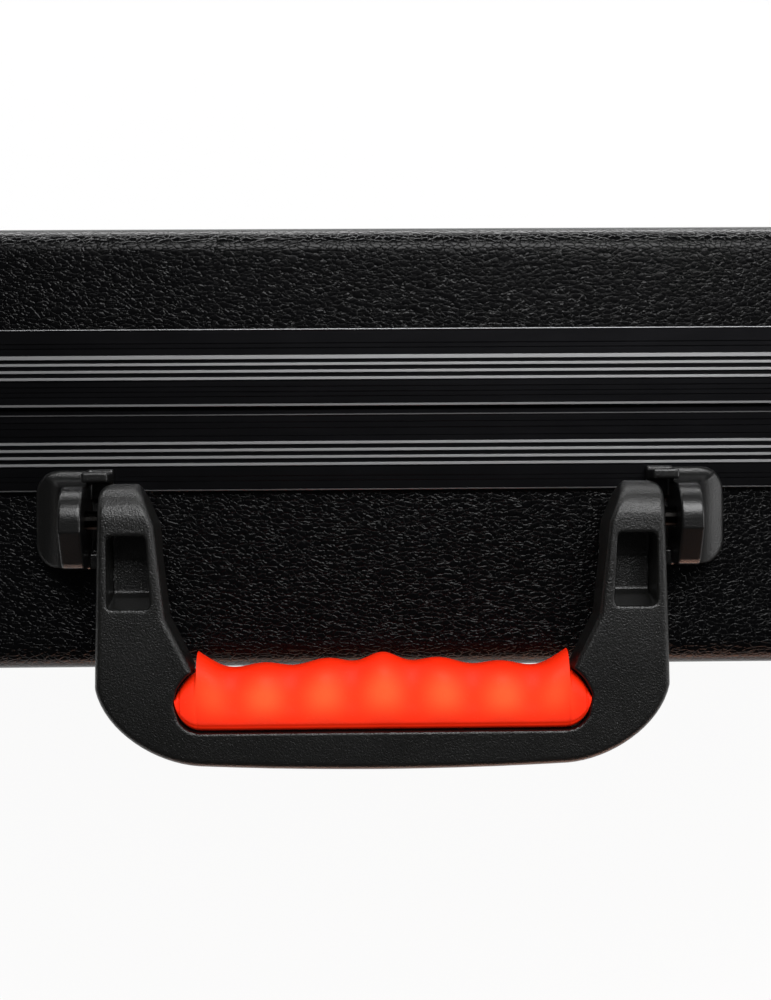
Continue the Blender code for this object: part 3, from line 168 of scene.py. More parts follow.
EAR_RADIUS = 9 * MM
BRACKET_OUTER = 93.6 * MM
BRACKET_INNER = 63.4 * MM
BRACKET_TOP = 16.3 * MM
BRACKET_FOOT = 43 * MM
PAD_THICKNESS = 2.5 * MM
STOP_HEIGHT = 14.6 * MM
PIN_RADIUS = 2.5 * MM
PIN_PLAY = 0.1 * MM
PIN_SOCKET = 12 * MM
HANDLE_NET = 0.52 * MM
BRACKET_NET = 0.36 * MM

# Sizes of the foam
FOAM_INSET = 5.4 * MM
FOAM_TOP = 8 * MM
FOAM_FLOOR = 10 * MM
FOAM_WALL = 24 * MM
ACCESSORY_POCKET = 42 * MM
POCKET_BRIDGE = 16 * MM
POCKET_CORNER = 8 * MM
FINGER_NOTCH = 15 * MM
FOAM_CHAMFER = 3 * MM
LID_FOAM_BACKING = 11 * MM
LID_FOAM_BUMP = 15 * MM
BUMP_COLUMNS = 9
BUMP_ROWS = 6
BUMP_STEPS = 24
FOAM_NET = 2.4 * MM

# The stage
FLOOR_REACH = 12.0
FLOOR_GAP = 12 * MM
FLOOR_WHITE = 0.92
PHOTO_DISTANCE = 0.45
PHOTO_FIELD = 274.0 * MM
PHOTO_MIDDLE = (-7.0 * MM, -25 * MM)
PHOTO_LEAN = -1.06
PHOTO_TURN = -0.42
SENSOR_WIDTH = 36


def linear(code):
    """A colour from its sRGB hex code, as the linear values that Blender's sockets take."""
    parts = [int(code[at:at + 2], 16) / 255 for at in (1, 3, 5)]
    return tuple(p / 12.92 if p <= 0.04045 else ((p + 0.055) / 1.055) ** 2.4 for p in parts)


def smooth_step(value):
    """A soft step from 0 to 1: three times the square less twice the cube, held at both ends."""
    value = np.clip(value, 0, 1)
    return value * value * (3 - 2 * value)


# Outlines


def arc(centre, radius, start, end, steps):
    """Points on a circular arc between two angles in degrees, as an (N, 2) array."""
    angle = np.radians(np.linspace(start, end, steps + 1))
    return np.stack((centre[0] + radius * np.cos(angle), centre[1] + radius * np.sin(angle)), -1)


def bezier(first, second, third, fourth, steps):
    """Points on a cubic Bezier curve: four corners weighted by the Bernstein polynomials."""
    t = np.linspace(0, 1, steps + 1)[:, None]
    corners = [np.asarray(corner, float) for corner in (first, second, third, fourth)]
    weights = ((1 - t) ** 3, 3 * t * (1 - t) ** 2, 3 * t * t * (1 - t), t ** 3)
    return sum(weight * corner for weight, corner in zip(weights, corners))


def round_corners(outline, radius, steps=5, least_turn=6):
    """A closed outline whose corners are replaced by parabolas that touch both edges."""
    points = np.asarray(outline, float)
    made = []
    for before, corner, after in zip(np.roll(points, 1, 0), points, np.roll(points, -1, 0)):
        come, leave = corner - before, after - corner
        length_in, length_out = np.hypot(*come), np.hypot(*leave)
        if length_in < 1e-9 or length_out < 1e-9:
            continue
        come, leave = come / length_in, leave / length_out
        turn = abs(math.atan2(come[0] * leave[1] - come[1] * leave[0], come @ leave))
        if turn < math.radians(least_turn):
            made.append(corner)
            continue
        reach = min(radius * math.tan(turn / 2), 0.45 * length_in, 0.45 * length_out)
        start, end = corner - reach * come, corner + reach * leave
        t = np.linspace(0, 1, steps + 1)[:, None]
        made += list((1 - t) ** 2 * start + 2 * t * (1 - t) * corner + t * t * end)
    return np.array(made)


def corner_directions(steps):
    """Directions round the four corners of a rectangle, a quarter turn each, as a (4, N, 2) array."""
    turn = np.linspace(0, np.pi / 2, steps + 1) + np.pi / 2 * np.arange(4)[:, None]
    return np.stack((np.cos(turn), np.sin(turn)), -1)


def rounded_rectangle(low, high, radius, steps):
    """A rounded rectangle between two corners, as an (N, 2) array counter-clockwise."""
    right, left = high[0] - radius, low[0] + radius
    top, bottom = high[1] - radius, low[1] + radius
    centres = np.array(((right, top), (left, top), (left, bottom), (right, bottom)))
    return (centres[:, None] + radius * corner_directions(steps)).reshape(-1, 2)


def case_path(inset, radius, steps=24):
    """The case's outline in X and Z, drawn in by an inset."""
    low = (-HALF_WIDTH + inset, HINGE_WALL_Z + inset)
    high = (HALF_WIDTH - inset, FRONT_WALL_Z - inset)
    return rounded_rectangle(low, high, radius, steps)


# Meshes


def grid_faces(rows, columns, closed_rows=False, closed_columns=True):
    """Quads between neighbouring points of a grid that is numbered row by row."""
    row = np.arange(rows if closed_rows else rows - 1)
    column = np.arange(columns if closed_columns else columns - 1)
    row, column = np.meshgrid(row, column, indexing="ij")
    next_row, next_column = (row + 1) % rows, (column + 1) % columns
    corners = ((row, column), (row, next_column), (next_row, next_column), (next_row, column))
    return np.stack([r * columns + c for r, c in corners], -1).reshape(-1, 4)


def loft(rings):
    """A skin over an array of rings (rows, points, 3) with a flat cap at both ends."""
    rows, columns = rings.shape[:2]
    faces = grid_faces(rows, columns).tolist()
    faces.append(list(range(columns))[::-1])
    faces.append(list(range((rows - 1) * columns, rows * columns)))
    return rings.reshape(-1, 3), faces


def enclosed_volume(points, faces):
    """Six times the volume inside a closed mesh: the sum of its corners' box products."""
    total = 0
    sizes = np.array([len(face) for face in faces])
    for size in np.unique(sizes):
        group = np.array([face for face in faces if len(face) == size])
        for turn in range(1, size - 1):
            a, b, c = points[group[:, 0]], points[group[:, turn]], points[group[:, turn + 1]]
            total += np.einsum("ij,ij->", a, np.cross(b, c))
    return total


def finish_piece(name, shape, finish, body, nodes=(), sharp=40):
    """Makes the object of one piece: closed mesh, finish, the body it rides on and what it replaces."""
    points, faces = shape
    points = np.asarray(points, float)
    mesh = bpy.data.meshes.new(name)
    mesh.from_pydata((points + (0, PARTING_Y, 0)).tolist(), [], [list(face) for face in faces])
    if enclosed_volume(points - points.mean(0), faces) < 0:
        mesh.flip_normals()
    mesh.update()
    mesh.shade_smooth()
    mesh.set_sharp_from_angle(angle=math.radians(sharp))
    mesh.materials.append(finish)
    item = bpy.data.objects.new(name, mesh)
    bpy.context.scene.collection.objects.link(item)
    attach(item, body)
    if nodes:
        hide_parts(*nodes)
    return item


def mirrored(shape):
    """A shape reflected across the middle of the case, with its faces turned back outwards."""
    points, faces = shape
    return points * (-1, 1, 1), [list(face)[::-1] for face in faces]


def cross_distance(a, b, outline):
    """Signed distance in a plane from points (a, b) to a closed outline, negative inside.

    It is the least distance to any edge, and a point is inside when a line from it to the right
    crosses the outline an odd number of times.
    """
    a, b = np.asarray(a, float), np.asarray(b, float)
    nearest = np.full(np.broadcast(a, b).shape, np.inf)
    inside = np.zeros(nearest.shape, bool)
    points = np.asarray(outline, float)
    for (x0, y0), (x1, y1) in zip(points, np.roll(points, -1, 0)):
        dx, dy = x1 - x0, y1 - y0
        squared = dx * dx + dy * dy
        if squared < 1e-18:
            continue
        along = np.clip(((a - x0) * dx + (b - y0) * dy) / squared, 0, 1)
        nearest = np.minimum(nearest, (a - x0 - along * dx) ** 2 + (b - y0 - along * dy) ** 2)
        if dy:
            inside ^= ((y0 > b) != (y1 > b)) & (a < x0 + (b - y0) * dx / dy)
    return np.where(inside, -1, 1) * np.sqrt(nearest)


def meet(first, second, radius):
    """What two solids share, with the edge between them rounded to a quarter circle."""
    corner = np.hypot(np.maximum(first + radius, 0), np.maximum(second + radius, 0))
    return np.minimum(np.maximum(first, second), -radius) + corner


def join(first, second, radius):
    """Two solids as one, with a quarter-circle fillet in the corner between them."""
    corner = np.hypot(np.maximum(radius - first, 0), np.maximum(radius - second, 0))
    return np.maximum(np.minimum(first, second), radius) - corner


def cut(solid, tool, radius):
    """A solid less a tool, with a rounded edge round the hole."""
    return meet(solid, -tool, radius)


def box_distance(x, y, z, low, high, radius):
    """Signed distance to a box with rounded edges: the distance to a smaller box, less the radius."""
    outside = []
    for value, first, last in zip((x, y, z), low, high):
        outside.append(np.abs(value - (first + last) / 2) - (last - first) / 2 + radius)
    apart = np.sqrt(sum(np.maximum(gap, 0) ** 2 for gap in outside))
    within = np.minimum(np.maximum(np.maximum(outside[0], outside[1]), outside[2]), 0)
    return apart + within - radius


def net_surface(distance, low, high, step):
    """The surface where a signed distance is nought, as a mesh of quads.

    Each cell of a cubic grid that the surface passes through gets one point, the mean of the places
    where the surface crosses its edges, and each crossed edge joins the four cells round it. A few
    steps down the distance's slope then bring the points onto the surface itself.
    """
    low = np.asarray(low, float)
    counts = np.ceil((np.asarray(high, float) - low) / step).astype(int) + 1
    axes = [low[k] + step * np.arange(counts[k]) for k in range(3)]
    value = np.broadcast_to(distance(*np.meshgrid(*axes, indexing="ij", sparse=True)), counts)
    inside = value < 0
    cells = counts - 1
    total = np.zeros((3, cells.prod()))
    hits = np.zeros(cells.prod())
    loops = []
    for axis in range(3):
        near = tuple(slice(None, -1) if k == axis else slice(None) for k in range(3))
        far = tuple(slice(1, None) if k == axis else slice(None) for k in range(3))
        crossed = inside[near] != inside[far]
        index = np.argwhere(crossed)
        start, end = value[near][crossed], value[far][crossed]
        points = low + step * index
        points[:, axis] += step * start / (start - end)
        others = [k for k in range(3) if k != axis]
        ring = []
        for back in ((0, 0), (1, 0), (1, 1), (0, 1)):
            cell = index.copy()
            cell[:, others] -= back
            flat = np.ravel_multi_index(cell.T, cells)
            ring.append(flat)
            hits += np.bincount(flat, minlength=hits.size)
            for k in range(3):
                total[k] += np.bincount(flat, weights=points[:, k], minlength=hits.size)
        quads = np.stack(ring, -1)
        backwards = (start > 0) != (axis == 1)
        quads[backwards] = quads[backwards, ::-1]
        loops.append(quads)
    used = hits > 0
    number = np.cumsum(used) - 1
    points = (total[:, used] / hits[used]).T
    reach = step / 20
    for _ in range(3):
        level = distance(*points.T)
        slope = np.stack([
            (distance(*(points + offset).T) - distance(*(points - offset).T)) / (2 * reach)
            for offset in np.eye(3) * reach
        ], -1)
        move = -(level / np.maximum((slope ** 2).sum(1), 0.25))[:, None] * slope
        points = points + np.clip(move, -step / 2, step / 2)
    return points, number[np.concatenate(loops)].tolist()


# Finishes


def add_node(tree, kind, settings=None, **inputs):
    """Adds one node: settings are its own options, and inputs are values or sockets for its inputs.

    An input is named by its socket with underscores for spaces, or by _ and its number.
    """
    node = tree.nodes.new(kind)
    for key, value in (settings or {}).items():
        setattr(node, key, value)
    for key, value in inputs.items():
        socket = node.inputs[int(key[1:]) if key[0] == "_" else key.replace("_", " ")]
        if isinstance(value, bpy.types.NodeSocket):
            tree.links.new(value, socket)
        else:
            socket.default_value = value
    return node


def new_finish(name):
    """An empty material, its tree, and the socket that gives places on the object in metres."""
    finish = bpy.data.materials.new(name)
    finish.use_nodes = True
    tree = finish.node_tree
    tree.nodes.clear()
    return finish, tree, add_node(tree, "ShaderNodeTexCoord").outputs["Object"]


def show(tree, shader):
    """Joins a shader to the material's output."""
    output = tree.nodes.new("ShaderNodeOutputMaterial")
    tree.links.new(shader.outputs[0], output.inputs["Surface"])


def principled(tree, **inputs):
    """Ends a material's tree with Blender's principled shader."""
    show(tree, add_node(tree, "ShaderNodeBsdfPrincipled", **inputs))


def noise(tree, place, scale, detail, roughness=0.5):
    """The value of fractal noise with so many features to the metre."""
    inputs = {"Vector": place, "Scale": scale, "Detail": detail, "Roughness": roughness}
    return add_node(tree, "ShaderNodeTexNoise", **inputs).outputs["Fac"]


def cells(tree, place, scale, feature="F1"):
    """Distance to the middle of the nearest of many scattered cells, or to its edge."""
    cell = add_node(tree, "ShaderNodeTexVoronoi", {"feature": feature}, Vector=place, Scale=scale)
    return cell.outputs["Distance"]


def stretched(tree, place, scale):
    """Places multiplied by a scale in each direction."""
    return add_node(tree, "ShaderNodeMapping", Vector=place, Scale=scale).outputs[0]


def multiply_add(tree, value, factor, addend, **settings):
    """A value times a factor plus an addend."""
    settings["operation"] = "MULTIPLY_ADD"
    return add_node(tree, "ShaderNodeMath", settings, _0=value, _1=factor, _2=addend).outputs[0]


def spread(tree, value, low, high, start=0.0, end=1.0, kind="LINEAR"):
    """A value from start to end carried over to the range from low to high."""
    return add_node(
        tree, "ShaderNodeMapRange", {"interpolation_type": kind}, Value=value,
        From_Min=start, From_Max=end, To_Min=low, To_Max=high,
    ).outputs[0]


def blend(tree, factor, first, last):
    """One colour turning into another with a factor; each is a tuple of three or a socket."""
    ends = [end if isinstance(end, bpy.types.NodeSocket) else (*end, 1) for end in (first, last)]
    settings = {"data_type": "RGBA"}
    return add_node(tree, "ShaderNodeMix", settings, Factor=factor, _6=ends[0], _7=ends[1]).outputs[2]


def shades(tree, factor, colour, dark, pale):
    """A colour that goes from a dark to a pale share of itself with a factor."""
    colour = np.array(colour)
    return blend(tree, factor, dark * colour, pale * colour)


def bumped(tree, height, depth, strength=1.0, **inputs):
    """The direction of a surface that a height between 0 and 1 raises by a depth."""
    inputs.update(Strength=strength, Distance=depth, Height=height)
    return add_node(tree, "ShaderNodeBump", **inputs).outputs[0]


def grained_abs(settings):
    """Injection-moulded ABS with a leather grain etched into the mould.

    Each grain is a low dome (its height falls with the square of the distance from its middle) with
    a narrow crease round it, drawn out along the case. Edges that face the lamp show short bright
    lines, and the flats stay nearly black.
    """
    finish, tree, place = new_finish("grained_abs")
    size = settings.grain_size
    long_way = stretched(tree, place, (0.62, 1.0, 1.0))
    wander = add_node(tree, "ShaderNodeTexNoise", Vector=long_way, Scale=0.5 / size, Detail=2.0)
    bent = add_node(
        tree, "ShaderNodeVectorMath", {"operation": "MULTIPLY_ADD"},
        _0=wander.outputs["Color"], _1=(1.6 * size,) * 3, _2=long_way,
    ).outputs[0]
    middle, edge = cells(tree, bent, 1 / size), cells(tree, bent, 1 / size, "DISTANCE_TO_EDGE")
    plateau = spread(tree, edge, 0.0, 1.0, 0.0, 0.11, "SMOOTHSTEP")
    fine = noise(tree, bent, 2.5 / size, 3.0, 0.55)
    fall = multiply_add(tree, middle, middle, 0.0)
    height = multiply_add(tree, fine, 0.4, multiply_add(tree, fall, -1.2, plateau))
    # The base colour falls to 0.6 of itself in the creases between the grains: painted shade in the
    # creases.
    principled(
        tree, Base_Color=shades(tree, plateau, settings.plastic, 0.6, 1), IOR=1.54,
        Specular_IOR_Level=0.2, Roughness=spread(tree, fine, 0.16, 0.28),
        Normal=bumped(tree, height, settings.grain_depth),
    )
    return finish


def anodised_rim(settings):
    """Extruded aluminium, black anodised, with the crests of its ribs machined bright afterwards.

    The die leaves fine lines along the length, the dye layer is dark with a satin sheen, and the
    bare crests read as thin pale lines. The lips carry a share of the same pale colour as a
    painted highlight.
    """
    finish, tree, _ = new_finish("black_anodised_aluminium")
    across = add_node(tree, "ShaderNodeUVMap", {"uv_map": "along_and_across"}).outputs[0]
    # The crest attribute is the bright cut on the rib crests and a painted highlight on the lips.
    crest = add_node(tree, "ShaderNodeAttribute", {"attribute_name": "crest"}).outputs["Fac"]
    die = noise(tree, stretched(tree, across, (14.0, 5200.0, 1.0)), 1.0, 3.0, 0.6)
    cloud = noise(tree, stretched(tree, across, (55.0, 220.0, 1.0)), 1.0, 4.0)
    dye = shades(tree, cloud, settings.dye, 0.7, 1.3)
    satin = spread(tree, die, 0.3, 0.44)
    principled(
        tree, Base_Color=blend(tree, crest, dye, settings.bright_cut), Metallic=1.0,
        Roughness=add_node(tree, "ShaderNodeMix", Factor=crest, _2=satin, _3=0.42).outputs[0],
        Normal=bumped(tree, die, 0.02 * MM, 0.5),
    )
    return finish


def speckled_plastic(name, colour, grit, depth, gloss):
    """Glass-filled nylon moulded in a spark-eroded tool.

    An even, very fine pitting breaks up the shine, so that flat faces look soft grey and rounded
    edges carry a broad, grainy highlight.
    """
    finish, tree, place = new_finish(name)
    pits = noise(tree, place, 1 / grit, 2.0, 0.7)
    flow = noise(tree, place, 60.0, 3.0)
    # The colour runs from 0.65 of itself in the pits to 1.35 on the tops, by the same noise as the bump:
    # painted shade in the pits and painted light on the tops.
    principled(
        tree, Base_Color=shades(tree, pits, colour, 0.65, 1.35), IOR=1.53, Specular_IOR_Level=0.8,
        Roughness=spread(tree, flow, gloss - 0.05, gloss + 0.06), Normal=bumped(tree, pits, depth),
    )
    return finish


def orange_elastomer(settings):
    """Thermoplastic elastomer over-moulded on the bar, matte with a faint orange peel.

    It is painted paler across its middle and most on the finger swellings, a painted highlight, and its
    edges stay deep orange.
    """
    finish, tree, place = new_finish("orange_grip_elastomer")
    peel = noise(tree, place, 1100.0, 2.0, 0.6)
    fleck = spread(tree, cells(tree, place, 700.0), 0.0, 0.1, 0.12, 0.02)
    # The crown attribute blends in the paler highlight colour: a painted highlight on the grip's
    # swellings.
    crown = add_node(tree, "ShaderNodeAttribute", {"attribute_name": "crown"}).outputs["Fac"]
    pale = multiply_add(tree, noise(tree, place, 60.0, 3.0), 0.12, crown, use_clamp=True)
    skin = blend(tree, pale, settings.grip_colour, settings.grip_painted_highlight_colour)
    principled(
        tree, Base_Color=blend(tree, fleck, skin, linear("#FF9A6E")), Roughness=0.5, IOR=1.5,
        Specular_IOR_Level=0.16, Normal=bumped(tree, peel, 0.08 * MM, 0.6),
    )
    return finish


def nickel_plate(name, colour):
    """Pressed steel with a satin surface: warm grey, lightly brushed, edges a little softened."""
    finish, tree, place = new_finish(name)
    brush = noise(tree, stretched(tree, place, (260.0, 4200.0, 4200.0)), 1.0, 3.0)
    cloud = noise(tree, place, 90.0, 4.0)
    soft = add_node(tree, "ShaderNodeBevel", {"samples": 4}, Radius=0.35 * MM).outputs[0]
    principled(
        tree, Base_Color=shades(tree, cloud, colour, 0.85, 1), Metallic=1.0,
        Roughness=spread(tree, cloud, 0.22, 0.36),
        Normal=bumped(tree, brush, 0.02 * MM, 0.35, Normal=soft),
    )
    return finish


def foot_rubber(settings):
    """Compression-moulded black rubber: dull, slightly dusty, with a fine even tooth."""
    finish, tree, place = new_finish("black_foot_rubber")
    tooth = noise(tree, place, 1500.0, 2.0)
    dust = noise(tree, place, 120.0, 5.0, 0.65)
    principled(
        tree, Base_Color=shades(tree, dust, settings.rubber, 0.7, 1.8), Roughness=0.82, IOR=1.52,
        Normal=bumped(tree, tooth, 0.06 * MM, 0.7),
    )
    return finish


def open_cell_foam(settings):
    """Charcoal polyurethane foam, cut from a block: open pores of about a millimetre, no shine."""
    finish, tree, place = new_finish("charcoal_foam")
    size = settings.cell_size
    pores = cells(tree, place, 1 / size)
    depth = multiply_add(tree, noise(tree, place, 2.5 / size, 3.0), 0.5, pores)
    # The colour falls to 0.45 of itself towards the middle of each pore, where the bump is lowest:
    # painted shade in the pores.
    principled(
        tree, Base_Color=shades(tree, pores, settings.foam, 0.45, 1.4), Roughness=0.95, IOR=1.45,
        Sheen_Weight=0.15, Sheen_Roughness=0.6, Normal=bumped(tree, depth, 0.35 * MM),
    )
    return finish


# Shapes of the case body


def shell_shape(height, side):
    """One moulded tray, as rings from the inside of its face, round the mouth, to the outside.

    The outline is drawn in along a profile: straight wall, quarter-circle edge, flat border and a
    field raised by a soft step. The inside is the same profile a wall's thickness further in.
    """
    quarter = np.linspace(0, np.pi / 2, 15)
    slope = np.linspace(0, 1, 9)
    outer = [(SHELL_MOUTH, 0.0, CORNER_RADIUS), (height - EDGE_RADIUS - 4 * MM, 0.0, CORNER_RADIUS)]
    inner = [(SHELL_MOUTH, SHELL_WALL, CORNER_RADIUS - SHELL_WALL)]
    for angle in quarter:
        inset = EDGE_RADIUS * (1 - math.cos(angle))
        outer.append((height - EDGE_RADIUS * (1 - math.sin(angle)), inset, CORNER_RADIUS - inset))
        inset = EDGE_RADIUS - (EDGE_RADIUS - SHELL_WALL) * math.cos(angle)
        rise = height - EDGE_RADIUS + (EDGE_RADIUS - SHELL_WALL) * math.sin(angle)
        inner.append((rise, inset, CORNER_RADIUS - inset))
    for part in slope:
        inset = FIELD_INSET + FIELD_SLOPE * part
        rise = height + FIELD_RISE * float(smooth_step(part))
        outer.append((rise, inset, FIELD_RADIUS))
        inner.append((rise - SHELL_WALL, inset, FIELD_RADIUS))
    rings = []
    for rise, inset, radius in inner[::-1] + outer:
        across = case_path(inset, radius)
        rings.append(np.insert(across, 1, side * rise, axis=1))
    return loft(np.array(rings))


def rim_profile(rim):
    """A rim's section as rows of (out from the wall, away from the parting line, bright cut on the
    crests and painted highlight on the lips).

    The outer face is flat with a raised lip along both edges, four ribs with softly rounded
    shoulders and a few shallow lines; the inner part is a web and a flange behind the wall.
    """
    lip = PLATE_FACE + LIP_HEIGHT
    reach, bright = rim["reach"], rim["outer_lip_painted_highlight"]
    # The outer lip's bright rows are a painted highlight.
    rows = [(SEAT, reach, 0), (lip - 0.25 * MM, reach, 0), (lip - 0.2 * MM, reach, bright)]
    rows += [(lip - 0.07 * MM, reach - 0.07 * MM, bright), (lip, reach - 0.2 * MM, bright)]
    rows += [(lip, reach - 0.3 * MM, bright), (lip, reach - 0.33 * MM, 0)]
    rows += [(lip, reach - LIP_WIDTH, 0), (PLATE_FACE, reach - LIP_WIDTH - 0.2 * MM, 0)]
    for middle in rim["outer_lines"]:
        rows += die_line(middle)
    for index in reversed(range(RIB_COUNT)):
        half = rim["last_rib_half"] if index == RIB_COUNT - 1 else RIB_HALF
        rows += rib(rim["first_rib"] + index * RIB_PITCH, half)
    for middle in rim["inner_lines"]:
        rows += die_line(middle)
    edge, wide, bright = rim["inner_edge"], rim["inner_lip"], rim["inner_lip_painted_highlight"]
    rows += [(PLATE_FACE, edge + wide + 0.2 * MM, 0), (lip, edge + wide, 0)]
    # The inner lip's bright rows are a painted highlight.
    rows += [(lip, edge + wide - 0.03 * MM, bright), (lip, edge + 0.18 * MM, bright)]
    rows += [(lip, edge + 0.15 * MM, bright), (lip - 0.07 * MM, edge + 0.07 * MM, 0)]
    rows += [(lip - 0.25 * MM, edge, 0)]
    if rim["has_tongue"]:
        tip, half = WEB_LEVEL - SEAT, TONGUE_WIDTH / 2
        rows += [(0.0, RIM_EDGE, 0)]
        rows += [(out, away, 0) for out, away in arc((-half, -tip + half), half, 0, -180, 8)]
        rows += [(-TONGUE_WIDTH, WEB_LEVEL, 0)]
    else:
        rows += [(SEAT, edge, 0), (SEAT, WEB_LEVEL, 0)]
    wall_back, web_back = -SHELL_WALL - SEAT, WEB_LEVEL + WEB_THICKNESS
    rows += [(-FLANGE_INNER, WEB_LEVEL, 0), (-FLANGE_INNER, FLANGE_REACH, 0)]
    rows += [(wall_back, FLANGE_REACH, 0), (wall_back, web_back, 0), (SEAT, web_back, 0)]
    return np.array(rows, float)


def die_line(middle):
    """A shallow line in the rim's face, with a triangle as its section."""
    low, high = middle - LINE_HALF, middle + LINE_HALF
    return [(PLATE_FACE, high, 0), (PLATE_FACE - LINE_DEPTH, middle, 0), (PLATE_FACE, low, 0)]


def rib(middle, half):
    """One rib of the rim: steep flanks, shoulders rounded by a quarter circle and a bright crest."""
    turn = np.linspace(0, np.pi / 2, 5)
    out = RIB_CREST - RIB_SHOULDER * (1 - np.sin(turn))
    away = half - RIB_SHOULDER * (1 - np.cos(turn))
    shoulder = np.stack((out, away, np.arange(5) == 4), -1)
    shoulder = np.vstack((shoulder, (RIB_CREST, half - RIB_SHOULDER - 0.03 * MM, 1)))
    foot = half + RIB_FLANK
    rows = [(PLATE_FACE, foot, 0)], shoulder, shoulder[::-1] * (1, -1, 1), [(PLATE_FACE, -foot, 0)]
    return (np.vstack(rows) + (0, middle, 0)).tolist()


def rim_shape(profile, side, steps=28):
    """The section carried round the case's outline: each point lies out along the outline's normal."""
    path = case_path(0, CORNER_RADIUS, steps)
    normal = corner_directions(steps).reshape(-1, 2)
    out, away = profile[:, 0][:, None, None], profile[:, 1][:, None]
    flat = path + out * normal
    across = np.broadcast_to(side * away, flat.shape[:2])
    points = np.stack((flat[..., 0], across, flat[..., 1]), -1)
    return points.reshape(-1, 3), grid_faces(len(profile), len(path), True, True), path


def add_rim_map(item, profile, path):
    """Stores each corner's length along and across the section as UVs, and the bright cut of the crests
    with the painted highlight of the lips.
    """
    mesh = item.data
    rows, columns = len(profile), len(path)
    along = np.hypot(*np.diff(np.vstack((path, path[:1])), axis=0).T)
    across = np.hypot(*np.diff(np.vstack((profile, profile[:1]))[:, :2], axis=0).T)
    along, across = np.insert(np.cumsum(along), 0, 0), np.insert(np.cumsum(across), 0, 0)
    corner = np.zeros(len(mesh.loops), int)
    mesh.loops.foreach_get("vertex_index", corner)
    quads = corner.reshape(-1, 4)
    row, column = quads // columns, quads % columns
    row = np.where((row == 0) & (row.max(1, keepdims=True) == rows - 1), rows, row)
    column = np.where((column == 0) & (column.max(1, keepdims=True) == columns - 1), columns, column)
    layer = mesh.uv_layers.new(name="along_and_across")
    layer.uv.foreach_set("vector", np.stack((along[column], across[row]), -1).ravel())
    crest = mesh.attributes.new("crest", "FLOAT", "POINT")
    crest.data.foreach_set("value", np.repeat(profile[:, 2], columns))


# Shapes of the handle


def handle_front_outline():
    """The handle from the front, X and Y: a bar with swept corners between two widening arms."""
    half_bar = 0.65 * HANDLE_HALF_WIDTH
    crown = 1.2 * MM
    top = PIVOT_Y + KNUCKLE_RADIUS + 1 * MM
    outer = HANDLE_HALF_WIDTH
    bulge = outer + 1 * MM
    corner_y = -HANDLE_DROP + 0.8 * HANDLE_CORNER
    half = [(half_bar * t, -HANDLE_DROP + crown * t * t) for t in (0.2, 0.4, 0.6, 0.8)]
    half += bezier(
        (half_bar, -HANDLE_DROP + crown),
        (half_bar + 0.42 * HANDLE_CORNER, -HANDLE_DROP + 1.7 * crown),
        (bulge - 2.6 * MM, corner_y - 0.42 * HANDLE_CORNER),
        (bulge, corner_y),
        16,
    ).tolist()
    half += [(outer, PIVOT_Y), (outer, top), (outer - ARM_TOP_WIDTH, top)]
    half += [
        (outer - ARM_TOP_WIDTH, PIVOT_Y + KNUCKLE_RADIUS - 1 * MM),
        (outer - ARM_WIDTH, PIVOT_Y - 1 * MM),
        (outer - ARM_FOOT_WIDTH, PIVOT_Y - 25.5 * MM),
        (GRIP_HORN_X + 1 * MM, -GRIP_FLOOR + 0.95 * GRIP_HEIGHT),
        (GRIP_HORN_X - 5 * MM, -GRIP_FLOOR + 4 * MM),
    ]
    outline = [(0, -HANDLE_DROP)] + half + [(-x, y) for x, y in reversed(half)]
    return round_corners(outline, 5 * MM)


def handle_side_outline():
    """The handle from the side, Y and rise: a round knuckle, a flat back and a front that leans in.

    The front falls back towards the bar with the square of the way down.
    """
    below_axis = PIVOT_RISE - ARM_BACK
    heel = -180 + math.degrees(math.asin(below_axis / KNUCKLE_RADIUS))
    foot = -HANDLE_DROP - 5 * MM
    knuckle = arc((PIVOT_Y, PIVOT_RISE), KNUCKLE_RADIUS, 90, heel, 30)
    down = np.linspace(1, 0.05, 24)
    lean = np.stack((PIVOT_Y + (foot - PIVOT_Y) * down, ARM_FRONT - FACE_LEAN * down ** 2), -1)
    return np.vstack((knuckle, ((foot, ARM_BACK),), lean))


def grip_edges(x):
    """Lower and upper edge of the grip in the front view, at places X along it.

    The upper edge is a cosine with one wave to a finger on a low bell-shaped crown, and rises as
    a square towards the horn near each end; beyond the horn it falls to a rounded end. The lower
    edge is straight and turns up round a quarter circle at the ends.
    """
    reach = np.abs(x)
    floor = -GRIP_FLOOR
    turn = np.clip((reach - GRIP_HALF_WIDTH + GRIP_END_ROUND) / GRIP_END_ROUND, 0, 1)
    lower = floor - 0.95 * MM + 0.475 * GRIP_HEIGHT * (1 - np.sqrt(1 - turn ** 2))
    crown = 2.05 * MM * np.exp(-((x / (19 * MM)) ** 2))
    wave = 0.5 * MM + 0.6 * MM * np.exp(-((x / (10 * MM)) ** 2))
    upper = floor + GRIP_HEIGHT + crown + wave * np.cos(2 * np.pi * x / FINGER_PITCH)
    horn = np.clip((reach - GRIP_HORN_X + 8 * MM) / (8 * MM), 0, 1)
    upper = upper + GRIP_HORN_RISE * horn ** 2
    fall = np.clip((reach - GRIP_HORN_X) / (GRIP_HALF_WIDTH - GRIP_HORN_X), 0, 1)
    end = floor + GRIP_HEIGHT * (0.49 + 0.43 * (1 - fall ** 1.6) ** 0.8)
    return lower, upper + (end - upper) * smooth_step((reach - GRIP_HORN_X) / (0.5 * MM))


